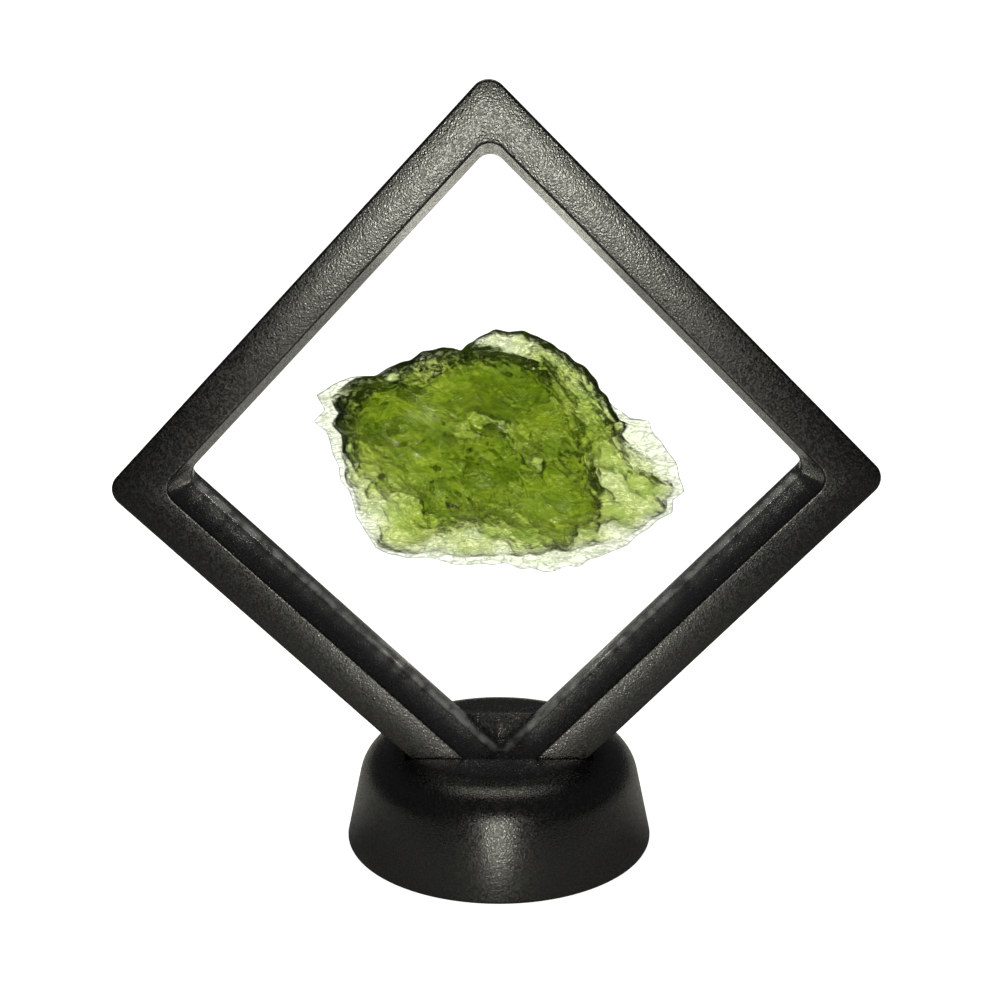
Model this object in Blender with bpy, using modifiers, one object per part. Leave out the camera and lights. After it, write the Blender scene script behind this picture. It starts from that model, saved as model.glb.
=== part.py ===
"""A moldavite held between two clear films in a square frame that stands on its corner in a round stand.

Metres, +Z up. The origin is on the table under the middle of the frame, and the front faces -Y.
"""

import math

import bmesh
import bpy
import numpy as np
from mathutils import Vector, noise

MM = 0.001
OBJECT_NAME = "moldavite_display"

# Room between pieces that touch on the real object
GAP = 0.3 * MM

# Square frame, made of a front and a back half that meet on its middle plane
FRAME_SIDE = 90.0 * MM
FRAME_DEPTH = 20.0 * MM
FRAME_MIDDLE_HEIGHT = 66.6 * MM
FRAME_CORNER_RADIUS = 3.0 * MM
FRAME_EDGE_RADIUS = 0.35 * MM
WINDOW_SIDE_AT_FACE = 76.7 * MM
WINDOW_SIDE_AT_MIDDLE = 74.0 * MM
WINDOW_CORNER_RADIUS = 2.7 * MM
# The frame stands on its corner and leans a little in the slot, its right corner higher
DIAMOND_TURN = math.radians(45.0)
LEAN_IN_SLOT = math.radians(0.96)

# Films, clamped in a seat that is cut into each half along the window
FILM_THICKNESS = 0.3 * MM
FILM_SIDE = 78.0 * MM
FILM_SEAT_SIDE = 79.0 * MM
FILM_FREE_SIDE = 73.2 * MM
FILM_CELLS = 14
FILM_OVER_STONE = 0.6 * MM
FILM_SWEEPS = 500

# Round stand with a slot for the frame's lower corner
STAND_RADIUS = 27.2 * MM
STAND_HEIGHT = 18.4 * MM
STAND_SIDE_SLOPE = math.radians(11.7)
STAND_SHOULDER_RADIUS = 8.0 * MM
STAND_FOOT_CHAMFER = 0.4 * MM
STAND_SHIFT = 0.5 * MM
STAND_STEPS = 64
SLOT_WIDTH = FRAME_DEPTH + 0.7 * MM
SLOT_FLOOR = 2.0 * MM
SLOT_CORNER_RADIUS = 2.0 * MM

# Stone, measured from the middle of the frame: +X to the right and +Z up
STONE_MIDDLE = (1.0 * MM, 3.0 * MM)
STONE_HALF_THICKNESS = 5.6 * MM
STONE_RIM = 0.9 * MM
STONE_RIM_WANDER = 2.4 * MM
STONE_TRIANGLES_KEPT = 0.24
STONE_OUTLINE = (
    (-29.8, 13.0), (-28.0, 13.9), (-23.8, 16.0), (-20.2, 16.3), (-14.2, 18.5), (-8.7, 20.7), (-5.8, 20.3),
    (-1.7, 23.0), (1.8, 23.6), (5.6, 23.0), (8.2, 22.2), (10.2, 20.7), (15.2, 16.9), (18.9, 11.7),
    (22.1, 9.1), (25.3, 8.7), (26.7, 6.2), (29.9, 1.7), (31.6, -3.4), (29.8, -5.0), (29.7, -7.1),
    (24.9, -10.6), (22.7, -13.1), (18.8, -14.7), (10.1, -17.4), (1.4, -16.2), (-10.8, -15.5), (-20.7, -13.4),
    (-23.0, -9.0), (-24.9, -3.2), (-26.6, 0.8), (-28.1, 6.9), (-29.9, 8.6), (-28.6, 10.6),
)

# Share of the way out that the thin rim takes, by the angle round the stone in degrees
STONE_THIN_RIM = (
    (-180, 0.05), (-169, 0.02), (-143, 0.02), (-135, 0.03), (-122, 0.07), (-89, 0.085), (-66, 0.16), (-45, 0.10),
    (-36, 0.03), (-15, 0.02), (-5, 0.06), (3, 0.12), (10, 0.12), (16, 0.05), (26, 0.02), (150, 0.02),
    (162, 0.07), (170, 0.09),
)

# Hollows and lumps of each face, in millimetres: middle x and z, half length, half width, turn, height
FRONT_RELIEF = (
    (-20.1, -7.7, 4.0, 3.2, 60, -3.2),
    (-10.2, -12.0, 3.4, 2.6, 20, -3.0),
    (-4.2, -10.3, 2.8, 2.6, 0, -2.6),
    (-1.6, 9.8, 2.6, 1.8, -35, -1.9),
    (6.9, 1.2, 3.0, 2.2, -50, -1.8),
    (19.0, -1.6, 4.2, 2.6, -50, -3.0),
    (19.0, -10.0, 3.0, 2.4, -60, -2.4),
    (12.5, 14.1, 3.6, 2.2, -40, -1.8),
    (25.0, 5.2, 3.0, 2.4, -55, -2.6),
    (2.5, 20.0, 4.2, 1.6, -5, -2.0),
    (-14.0, 13.0, 5.0, 2.6, 20, 1.1),
    (-20.0, 8.5, 4.6, 3.0, -20, 1.2),
    (-6.0, 3.0, 5.2, 3.4, -40, 0.9),
    (0.5, -4.5, 4.6, 3.0, 25, 0.9),
    (11.0, -8.5, 5.4, 3.4, -65, 1.4),
    (5.5, 14.5, 5.6, 2.2, -12, 1.3),
    (15.5, 6.5, 4.4, 2.6, -50, 1.0),
    (25.5, -6.0, 3.4, 2.2, -40, 1.1),
    (-15.5, -2.5, 1.4, 5.4, 50, -1.1),
    (-24.6, 5.6, 3.6, 1.0, 8, -1.6),
    (-8.0, 15.4, 3.6, 1.0, 35, -1.2),
)
BACK_RELIEF = (
    (-18.0, 4.0, 6.5, 4.0, 15, -1.8),
    (-8.0, -6.0, 5.5, 3.6, -30, 1.3),
    (3.0, 8.0, 6.0, 4.2, 40, 1.2),
    (14.0, 2.0, 5.0, 3.6, -45, -2.0),
    (22.0, -4.0, 4.0, 3.0, 20, 1.0),
    (0.0, -12.0, 6.0, 2.6, 5, -2.2),
    (-14.0, -9.0, 4.0, 3.2, 50, -2.2),
    (8.0, 17.0, 4.6, 2.6, -20, -1.6),
    (-22.0, 10.0, 4.0, 2.4, -10, 1.2),
    (12.0, -8.0, 4.6, 3.0, 60, 0.9),
)


def clear_scene():
    for obj in list(bpy.data.objects):
        bpy.data.objects.remove(obj, do_unlink=True)


def new_collection(name):
    collection = bpy.data.collections.new(name)
    bpy.context.scene.collection.children.link(collection)
    return collection


def principled(name, colour, roughness, metallic=0.0):
    material = bpy.data.materials.new(name)
    material.use_nodes = True
    shader = material.node_tree.nodes["Principled BSDF"]
    shader.inputs["Base Color"].default_value = (*colour, 1.0)
    shader.inputs["Roughness"].default_value = roughness
    shader.inputs["Metallic"].default_value = metallic
    return material


def black_plastic(name):
    """Spark-eroded black moulded plastic."""
    return principled(name, (0.018, 0.018, 0.017), 0.42)


def clear_film():
    material = principled("clear_film", (0.97, 0.98, 0.98), 0.04)
    shader = material.node_tree.nodes["Principled BSDF"]
    shader.inputs["Transmission Weight"].default_value = 1.0
    shader.inputs["IOR"].default_value = 1.49
    return material


def moldavite_glass():
    """Olive green natural glass."""
    material = principled("moldavite_glass", (0.30, 0.42, 0.05), 0.12)
    shader = material.node_tree.nodes["Principled BSDF"]
    shader.inputs["Transmission Weight"].default_value = 1.0
    shader.inputs["IOR"].default_value = 1.49
    return material


def mesh_object(name, shape, collection, material=None):
    """Puts a bmesh into a new object."""
    mesh = bpy.data.meshes.new(name)
    shape.to_mesh(mesh)
    shape.free()
    obj = bpy.data.objects.new(name, mesh)
    collection.objects.link(obj)
    if material is not None:
        mesh.materials.append(material)
    return obj


def cutter_object(name, shape, collection):
    cutter = mesh_object(name, shape, collection)
    cutter.hide_render = True
    cutter.display_type = "WIRE"
    return cutter


def square_block(side_at_start, side_at_end, start, end, corner_radius, corner_steps=6):
    """A block along Y from start to end, square across, whose side changes from one end to the other."""
    shape = bmesh.new()
    bmesh.ops.create_cube(shape, size=1.0)
    for vertex in shape.verts:
        at_end = vertex.co.y > 0
        side = side_at_end if at_end else side_at_start
        vertex.co = Vector((vertex.co.x * side, end if at_end else start, vertex.co.z * side))
    if corner_radius:
        long_edges = [edge for edge in shape.edges if abs(edge.verts[0].co.y - edge.verts[1].co.y) > GAP]
        bmesh.ops.bevel(
            shape, geom=long_edges, offset=corner_radius, segments=corner_steps, profile=0.5, affect="EDGES"
        )
    return shape


def cut(obj, cutter, name):
    modifier = obj.modifiers.new(name, "BOOLEAN")
    modifier.operation = "DIFFERENCE"
    modifier.solver = "EXACT"
    modifier.object = cutter


def round_edges(obj, radius, steps):
    modifier = obj.modifiers.new("Edge rounding", "BEVEL")
    modifier.width = radius
    modifier.segments = steps
    modifier.limit_method = "ANGLE"
    modifier.angle_limit = math.radians(40.0)


def window_side(distance):
    """The window's side at this distance from the middle plane: it narrows towards that plane."""
    widening = (WINDOW_SIDE_AT_FACE - WINDOW_SIDE_AT_MIDDLE) / (FRAME_DEPTH / 2)
    return WINDOW_SIDE_AT_MIDDLE + widening * distance


def frame_half(name, facing, carrier, parts, cutters):
    """One moulded half of the frame. facing is -1 for the front half and +1 for the back half."""
    inner = facing * GAP / 2
    outer = facing * FRAME_DEPTH / 2
    low, high = sorted((inner, outer))
    shape = square_block(FRAME_SIDE, FRAME_SIDE, low, high, FRAME_CORNER_RADIUS)
    half = mesh_object(name, shape, parts, black_plastic(name + "_plastic"))

    overrun = 2 * MM
    ends = sorted((facing * -overrun, outer + facing * overrun))
    sides = [window_side(facing * end) for end in ends]
    window = cutter_object(
        name + "_window_cutter", square_block(*sides, *ends, WINDOW_CORNER_RADIUS), cutters
    )

    seat_depth = facing * (GAP / 2 + FILM_THICKNESS + GAP)
    seat_ends = sorted((facing * -overrun, seat_depth))
    seat = cutter_object(
        name + "_seat_cutter", square_block(FILM_SEAT_SIDE, FILM_SEAT_SIDE, *seat_ends, 0.0), cutters
    )

    cut(half, window, "Window")
    round_edges(half, FRAME_EDGE_RADIUS, 2)
    cut(half, seat, "Film seat")
    for piece in (half, window, seat):
        piece.parent = carrier
    return half


def stand_profile():
    """The stand's outline as (radius, height) pairs, from the middle of the top down to the foot."""
    arc_height = STAND_HEIGHT - STAND_SHOULDER_RADIUS
    meeting_height = arc_height + STAND_SHOULDER_RADIUS * math.sin(STAND_SIDE_SLOPE)
    meeting_radius = STAND_RADIUS - meeting_height * math.tan(STAND_SIDE_SLOPE)
    arc_radius = meeting_radius - STAND_SHOULDER_RADIUS * math.cos(STAND_SIDE_SLOPE)
    points = [(0.0, STAND_HEIGHT)]
    shoulder_steps = 6
    for step in range(shoulder_steps + 1):
        angle = math.pi / 2 + (STAND_SIDE_SLOPE - math.pi / 2) * step / shoulder_steps
        points.append(
            (
                arc_radius + STAND_SHOULDER_RADIUS * math.cos(angle),
                arc_height + STAND_SHOULDER_RADIUS * math.sin(angle),
            )
        )
    points.append((STAND_RADIUS, STAND_FOOT_CHAMFER))
    points.append((STAND_RADIUS - STAND_FOOT_CHAMFER, 0.0))
    points.append((0.0, 0.0))
    return points


def build_stand(parts, cutters):
    shape = bmesh.new()
    corners = [shape.verts.new((radius, 0.0, height)) for radius, height in stand_profile()]
    for upper, lower in zip(corners, corners[1:]):
        shape.edges.new((upper, lower))
    stand = mesh_object("stand", shape, parts, black_plastic("stand_plastic"))
    stand.location.x = STAND_SHIFT
    turning = stand.modifiers.new("Turning", "SCREW")
    turning.axis = "Z"
    turning.steps = STAND_STEPS
    turning.render_steps = STAND_STEPS
    turning.use_merge_vertices = True
    turning.merge_threshold = 0.01 * MM
    turning.use_smooth_shade = True

    # The slot is a square bar laid on its corner, which reaches well above the stand
    slot_side = FRAME_SIDE / 2
    slot = cutter_object(
        "stand_slot_cutter",
        square_block(slot_side, slot_side, -SLOT_WIDTH / 2, SLOT_WIDTH / 2, SLOT_CORNER_RADIUS, 4),
        cutters,
    )
    slot.rotation_euler.y = DIAMOND_TURN
    slot.location = (STAND_SHIFT, 0.0, SLOT_FLOOR + slot_side / math.sqrt(2))
    cut(stand, slot, "Frame slot")
    return stand


def rim_distance(angle):
    """How far the stone reaches from its middle at this angle, along the traced outline."""
    corners = [(x * MM - STONE_MIDDLE[0], z * MM - STONE_MIDDLE[1]) for x, z in STONE_OUTLINE]
    angles = np.array([math.atan2(z, x) for x, z in corners])
    reaches = np.array([math.hypot(x, z) for x, z in corners])
    return float(np.interp(angle, angles[::-1], reaches[::-1], period=2 * math.pi))


def relief(x, z, features):
    """Sum of the hollows and lumps of one face at this point."""
    total = 0.0
    for middle_x, middle_z, half_length, half_width, turn, height in features:
        dx = x - middle_x * MM
        dz = z - middle_z * MM
        turned = math.radians(turn)
        along = (dx * math.cos(turned) + dz * math.sin(turned)) / (half_length * MM)
        across = (dz * math.cos(turned) - dx * math.sin(turned)) / (half_width * MM)
        total += height * MM * math.exp(-(along * along + across * across))
    return total


def skin(x, z, side):
    """Etched skin of natural glass: long scooped pits with sharp crests between them, down to the right."""
    flow = math.radians(-38.0)
    along = (x * math.cos(flow) + z * math.sin(flow)) / (5.6 * MM)
    across = (z * math.cos(flow) - x * math.sin(flow)) / (3.4 * MM)
    place = Vector((along, across, 11.0 * side))
    bend = 0.35 * noise.noise_vector(place * 0.9)
    scoops = noise.voronoi(place + bend)[0][0] ** 2 - 0.28
    ridges = noise.ridged_multi_fractal(place * 1.1, 0.9, 2.1, 3, 1.0, 2.0) - 1.2
    return (1.9 * scoops + 0.45 * ridges) * MM


def body_share(angle):
    """Where the thick body ends and the thin rim begins, as a share of the way out."""
    angles = [degrees for degrees, _ in STONE_THIN_RIM]
    shares = [share for _, share in STONE_THIN_RIM]
    return 1.0 - float(np.interp(math.degrees(angle), angles, shares, period=360.0))


def half_thickness(x, z, reach, angle, side):
    """Half the stone's thickness at this point. reach runs from 0 in the middle to 1 on the rim."""
    rim = STONE_RIM * math.sqrt(max(0.0, 1.0 - reach * reach))
    inner = min(1.0, reach / body_share(angle))
    body = (1.0 - inner**5) ** 0.6
    features = FRONT_RELIEF if side < 0 else BACK_RELIEF
    swell = (STONE_HALF_THICKNESS - STONE_RIM + relief(x, z, features) + skin(x, z, side)) * body
    return rim + max(0.0, swell)


def stone_shape():
    """A ball drawn out to the stone's outline and flattened to its thickness."""
    shape = bmesh.new()
    bmesh.ops.create_icosphere(shape, subdivisions=6, radius=1.0)
    for vertex in shape.verts:
        direction = vertex.co.normalized()
        angle = math.atan2(direction.z, direction.x)
        around = Vector((math.cos(angle), math.sin(angle), 0.0))
        reach = math.hypot(direction.x, direction.z) ** 0.9
        ragged = 0.6 * MM * noise.noise(around * 9.0 + Vector((0.0, 0.0, 4.0)))
        distance = reach * (rim_distance(angle) + ragged * reach)
        x = STONE_MIDDLE[0] + distance * around.x
        z = STONE_MIDDLE[1] + distance * around.y
        side = 1.0 if direction.y > 0 else -1.0
        # The two faces close up where the ball's waist becomes the rim, which wanders off the middle plane
        waist = min(1.0, abs(direction.y) / 0.12)
        wander = STONE_RIM_WANDER * reach**2 * noise.noise(around * 1.7 + Vector((0.0, 0.0, 8.0)))
        vertex.co = Vector((x, side * waist * half_thickness(x, z, reach, angle, side) + wander, z))
    return shape


def build_stone(parts):
    stone = mesh_object("moldavite", stone_shape(), parts, moldavite_glass())
    stone.location.z = FRAME_MIDDLE_HEIGHT
    stone.data.shade_smooth()
    facets = stone.modifiers.new("Facets", "DECIMATE")
    facets.ratio = STONE_TRIANGLES_KEPT
    return stone


def film_lines():
    """Where the film's grid lines run: a clamped strip at each border and even cells between."""
    free = np.linspace(-FILM_FREE_SIDE / 2, FILM_FREE_SIDE / 2, FILM_CELLS + 1)
    return np.concatenate(([-FILM_SIDE / 2], free, [FILM_SIDE / 2]))


def film_heights(lines, stone, facing):
    """How far the stretched film stands off its clamped border at each crossing of the lines."""
    turn = DIAMOND_TURN - LEAN_IN_SLOT
    points = np.array([vertex.co for vertex in stone.data.vertices])
    heights = facing * points[:, 1]
    # The frame is turned about Y, so its own axes are read off the stone's points turned back
    across = points[:, 0] * math.cos(turn) - points[:, 2] * math.sin(turn)
    up = points[:, 0] * math.sin(turn) + points[:, 2] * math.cos(turn)
    under = np.zeros((len(lines), len(lines)))
    cell = FILM_FREE_SIDE / FILM_CELLS
    for row, line_x in enumerate(lines):
        for column, line_z in enumerate(lines):
            near = (np.abs(across - line_x) < cell) & (np.abs(up - line_z) < cell) & (heights > 0)
            if near.any():
                under[row, column] = heights[near].max() + FILM_OVER_STONE
    film = under.copy()
    for _ in range(FILM_SWEEPS):
        sides = film[1:-3, 2:-2] + film[3:-1, 2:-2] + film[2:-2, 1:-3] + film[2:-2, 3:-1]
        film[2:-2, 2:-2] = np.maximum(under[2:-2, 2:-2], sides / 4)
    return film


def build_film(name, facing, stone, carrier, parts):
    """A clear film, clamped flat along its border and tented over one face of the stone."""
    lines = film_lines()
    heights = film_heights(lines, stone, facing)
    border_height = (GAP + FILM_THICKNESS) / 2
    last = len(lines) - 1
    shape = bmesh.new()
    bmesh.ops.create_grid(shape, x_segments=last, y_segments=last, size=1.0)
    for vertex in shape.verts:
        row = round((vertex.co.x + 1.0) / 2 * last)
        column = round((vertex.co.y + 1.0) / 2 * last)
        height = facing * (border_height + heights[row, column])
        vertex.co = Vector((lines[row], height, lines[column]))
    bmesh.ops.recalc_face_normals(shape, faces=shape.faces)
    film = mesh_object(name, shape, parts, clear_film())
    film.data.shade_smooth()
    wall = film.modifiers.new("Film thickness", "SOLIDIFY")
    wall.thickness = FILM_THICKNESS
    wall.offset = 0.0
    film.parent = carrier
    return film


def build_carrier(parts):
    """An empty in the middle of the frame, turned onto its corner, that carries the frame and the films."""
    carrier = bpy.data.objects.new("frame_middle", None)
    carrier.empty_display_size = 10 * MM
    carrier.location.z = FRAME_MIDDLE_HEIGHT
    carrier.rotation_euler.y = DIAMOND_TURN - LEAN_IN_SLOT
    parts.objects.link(carrier)
    return carrier


def main():
    clear_scene()
    parts = new_collection(OBJECT_NAME)
    cutters = new_collection(OBJECT_NAME + "_cutters")
    carrier = build_carrier(parts)
    build_stand(parts, cutters)
    frame_half("front_frame", -1, carrier, parts, cutters)
    frame_half("back_frame", 1, carrier, parts, cutters)
    stone = build_stone(parts)
    build_film("front_film", -1, stone, carrier, parts)
    build_film("back_film", 1, stone, carrier, parts)


main()
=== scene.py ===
"""Dresses the moldavite display: the stone, its two films, the square frame and the round stand.

Metres throughout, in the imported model's own frame: +Z up, the front of the display faces -Y.
"""

import logging
import math
from dataclasses import dataclass, field
from enum import Enum

import bmesh
import bpy
import numpy as np
from mathutils import Matrix, Vector, noise


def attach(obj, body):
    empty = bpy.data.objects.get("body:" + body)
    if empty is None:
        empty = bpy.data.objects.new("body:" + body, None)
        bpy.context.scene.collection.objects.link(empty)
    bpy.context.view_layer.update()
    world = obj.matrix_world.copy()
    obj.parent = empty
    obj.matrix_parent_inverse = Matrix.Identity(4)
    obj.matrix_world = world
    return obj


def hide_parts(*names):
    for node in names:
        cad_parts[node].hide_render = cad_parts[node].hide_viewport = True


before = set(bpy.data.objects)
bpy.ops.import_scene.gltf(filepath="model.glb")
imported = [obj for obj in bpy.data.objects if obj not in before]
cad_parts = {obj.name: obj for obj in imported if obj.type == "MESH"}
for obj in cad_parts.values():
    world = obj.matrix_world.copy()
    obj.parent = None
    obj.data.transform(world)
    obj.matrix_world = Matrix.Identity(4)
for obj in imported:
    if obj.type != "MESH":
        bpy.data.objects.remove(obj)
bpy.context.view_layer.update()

MM = 0.001
BODY = "root"
LOG = logging.getLogger("moldavite_display")

Point = tuple[float, float, float]
Ring = list[Point]


class Side(Enum):
    """Which way a half of the display faces along Y."""

    FRONT = -1
    BACK = 1

    @property
    def node(self) -> str:
        """The word that this side's CAD nodes start with."""
        return self.name.lower()


class Plane(Enum):
    """Which slot of a moulding's materials a face takes."""

    GRAINED = 0
    POLISHED = 1


# The stone's outline from the middle of the frame, in millimetres, clockwise from its left tip
STONE_OUTLINE: tuple[tuple[float, float], ...] = (
    (-29.8, 13.0), (-28.0, 13.9), (-23.8, 16.0), (-20.2, 16.3), (-14.2, 18.5), (-8.7, 20.7), (-5.8, 20.3),
    (-1.7, 23.0), (1.8, 23.6), (5.6, 23.0), (8.2, 22.2), (10.2, 20.7), (15.2, 16.9), (18.9, 11.7),
    (22.1, 9.1), (25.3, 8.7), (26.7, 6.2), (29.9, 1.7), (31.6, -3.4), (29.8, -5.0), (29.7, -7.1),
    (24.9, -10.6), (22.7, -13.1), (18.8, -14.7), (10.1, -17.4), (1.4, -16.2), (-10.8, -15.5), (-20.7, -13.4),
    (-23.0, -9.0), (-24.9, -3.2), (-26.6, 0.8), (-28.1, 6.9), (-29.9, 8.6), (-28.6, 10.6),
)

# Share of the way out that the thin rim takes, by the angle round the stone in degrees
THIN_RIM: tuple[tuple[float, float], ...] = (
    (-180, 0.05), (-169, 0.02), (-143, 0.02), (-135, 0.03), (-122, 0.07), (-89, 0.085), (-66, 0.16), (-45, 0.10),
    (-36, 0.03), (-15, 0.03), (-5, 0.09), (3, 0.20), (10, 0.20), (16, 0.08), (26, 0.0), (120, 0.0), (150, 0.01),
    (162, 0.07), (170, 0.09),
)

# Hollows and lumps of each face, in millimetres: middle x and z, half length, half width, turn, height
FRONT_RELIEF: tuple[tuple[float, ...], ...] = (
    (-20.1, -7.7, 4.0, 3.2, 60, -3.2),
    (-10.2, -12.0, 3.4, 2.6, 20, -3.0),
    (-4.2, -10.3, 2.8, 2.6, 0, -2.6),
    (-1.6, 9.8, 2.6, 1.8, -35, -1.9),
    (6.9, 1.2, 3.0, 2.2, -50, -1.8),
    (19.0, -1.6, 4.2, 2.6, -50, -3.0),
    (19.0, -10.0, 3.0, 2.4, -60, -2.4),
    (12.5, 14.1, 3.6, 2.2, -40, -1.8),
    (25.0, 5.2, 3.0, 2.4, -55, -2.6),
    (2.5, 20.0, 4.2, 1.6, -5, -2.0),
    (-14.0, 13.0, 5.0, 2.6, 20, 1.1),
    (-20.0, 8.5, 4.6, 3.0, -20, 1.2),
    (-6.0, 3.0, 5.2, 3.4, -40, 0.9),
    (0.5, -4.5, 4.6, 3.0, 25, 0.9),
    (11.0, -8.5, 5.4, 3.4, -65, 1.4),
    (5.5, 14.5, 5.6, 2.2, -12, 1.3),
    (15.5, 6.5, 4.4, 2.6, -50, 1.0),
    (25.5, -6.0, 3.4, 2.2, -40, 1.1),
    (-15.5, -2.5, 1.4, 5.4, 50, -1.1),
    (-24.6, 5.6, 3.6, 1.0, 8, -1.6),
    (-8.0, 15.4, 3.6, 1.0, 35, -1.2),
)
BACK_RELIEF: tuple[tuple[float, ...], ...] = (
    (-18.0, 4.0, 6.5, 4.0, 15, -1.8),
    (-8.0, -6.0, 5.5, 3.6, -30, 1.3),
    (3.0, 8.0, 6.0, 4.2, 40, 1.2),
    (14.0, 2.0, 5.0, 3.6, -45, -2.0),
    (22.0, -4.0, 4.0, 3.0, 20, 1.0),
    (0.0, -12.0, 6.0, 2.6, 5, -2.2),
    (-14.0, -9.0, 4.0, 3.2, 50, -2.2),
    (8.0, 17.0, 4.6, 2.6, -20, -1.6),
    (-22.0, 10.0, 4.0, 2.4, -10, 1.2),
    (12.0, -8.0, 4.6, 3.0, 60, 0.9),
)

# Small hollows and lumps of the front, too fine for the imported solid, written the same way
FRONT_DETAIL: tuple[tuple[float, ...], ...] = (
    (-19.6, -6.4, 4.2, 1.7, 65, -2.2),
    (-9.8, -11.6, 3.0, 2.0, 25, -2.0),
    (-7.2, -9.2, 1.8, 0.8, -60, -1.0),
    (-0.3, -4.6, 1.3, 0.7, 0, -1.4),
    (-3.8, -9.8, 2.2, 2.0, 0, -0.9),
    (1.2, -11.6, 1.6, 1.2, 10, -1.0),
    (-13.4, -3.6, 2.0, 1.2, 10, -1.0),
    (-17.0, -1.0, 1.6, 1.1, 60, -1.1),
    (-22.2, -2.6, 1.6, 0.9, -20, -1.2),
    (-1.0, 9.2, 2.2, 1.0, -38, -1.4),
    (-6.6, 6.9, 1.6, 1.1, -30, -1.0),
    (6.4, 2.4, 0.9, 0.8, 0, -1.2),
    (7.9, 1.6, 0.8, 0.7, 0, -1.1),
    (7.3, 0.4, 0.8, 0.6, 20, -1.0),
    (9.2, 12.2, 1.1, 0.5, -20, -1.1),
    (13.6, 13.2, 2.6, 0.7, -42, -1.2),
    (15.4, 8.2, 1.3, 1.0, -30, -1.2),
    (19.2, -0.6, 2.4, 0.6, -50, -2.0),
    (18.8, -2.8, 2.2, 0.5, -50, -1.8),
    (21.6, 1.6, 3.0, 0.6, -56, -2.0),
    (18.4, -5.0, 1.9, 0.7, -8, -1.4),
    (19.6, -9.6, 2.0, 0.5, -60, -1.5),
    (18.0, -9.2, 1.4, 0.4, -60, -1.3),
    (14.4, -9.4, 0.5, 1.5, 0, -1.1),
    (28.6, -1.6, 1.2, 0.7, -40, -1.2),
    (25.6, 6.4, 1.6, 1.0, -55, -1.6),
    (26.4, 3.4, 1.4, 1.2, -60, -1.8),
    (-1.6, 21.4, 1.9, 1.0, 0, -2.6),
    (2.2, 22.2, 1.7, 0.6, 10, -2.0),
    (4.8, 21.2, 1.6, 0.5, 48, -2.0),
    (-2.0, 18.6, 2.8, 0.35, -33, -1.3),
    (1.8, 17.9, 1.0, 0.3, -20, -1.0),
    (4.0, 16.4, 0.7, 0.25, -15, -0.9),
    (6.5, 17.4, 0.9, 0.25, -10, -0.9),
    (12.1, 18.7, 1.2, 0.3, -38, -1.1),
    (-14.2, 17.4, 2.0, 0.8, 30, -1.4),
    (-0.9, -10.8, 0.9, 2.8, 0, 1.8),
    (-11.3, 5.4, 2.2, 0.9, 5, 0.9),
    (-7.6, -0.8, 1.4, 1.0, -40, 0.9),
    (13.8, 5.2, 1.8, 0.5, 0, 0.8),
)

# Patches where the stone is thin and so pale: middle x and z, half length, half width, turn, share taken off.
# A share below nought makes it thicker and darker.
PALE_PATCHES: tuple[tuple[float, ...], ...] = (
    (-20.6, -7.8, 5.0, 2.6, 62, 0.30),
    (-11.0, -12.4, 4.4, 2.4, 12, 0.30),
    (-17.2, -9.6, 2.8, 2.0, 20, 0.20),
    (-4.6, -11.0, 3.2, 3.4, 0, 0.74),
    (0.8, -13.2, 2.4, 2.0, 0, 0.62),
    (-5.8, -7.4, 2.6, 1.2, -10, 0.55),
    (-15.6, -4.6, 4.0, 2.2, 20, 0.42),
    (-20.6, -1.4, 2.0, 1.4, 30, 0.40),
    (20.0, -2.4, 6.2, 4.2, -50, 0.74),
    (23.6, 1.6, 4.2, 1.8, -56, 0.66),
    (27.4, 4.2, 3.4, 2.4, -60, 0.70),
    (27.0, 0.2, 2.8, 1.8, -50, 0.75),
    (20.0, -10.6, 3.6, 2.4, -50, 0.86),
    (14.4, -10.4, 2.0, 2.6, 0, 0.45),
    (24.6, -5.6, 3.0, 1.4, -35, 0.48),
    (11.0, 11.8, 4.0, 2.0, -45, 0.26),
    (14.6, 7.2, 3.0, 2.0, -50, 0.26),
    (16.8, 2.2, 2.4, 1.2, -50, 0.40),
    (1.6, 20.4, 4.8, 1.6, -6, 0.78),
    (9.6, 18.0, 2.4, 0.8, -38, 0.20),
    (-0.6, 9.0, 5.0, 3.2, -35, 0.60),
    (-5.8, 6.0, 4.4, 3.0, -30, 0.36),
    (6.8, 1.8, 4.0, 3.2, -50, 0.54),
    (3.6, 5.6, 3.6, 2.6, -50, 0.16),
    (-10.6, 15.8, 3.4, 1.2, 30, 0.30),
    (-17.4, 14.4, 3.6, 0.9, 22, 0.30),
    (-25.4, 12.4, 2.8, 0.8, 25, 0.25),
    (-25.8, 5.4, 1.2, 3.0, 15, 0.20),
    (1.0, -9.6, 4.0, 3.6, 0, 0.42),
    (-4.0, 14.0, 9.0, 3.8, -8, -0.75),
    (-21.4, 6.6, 6.4, 5.4, 15, -0.90),
    (12.6, 4.0, 3.4, 7.4, -10, -0.26),
)

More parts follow.
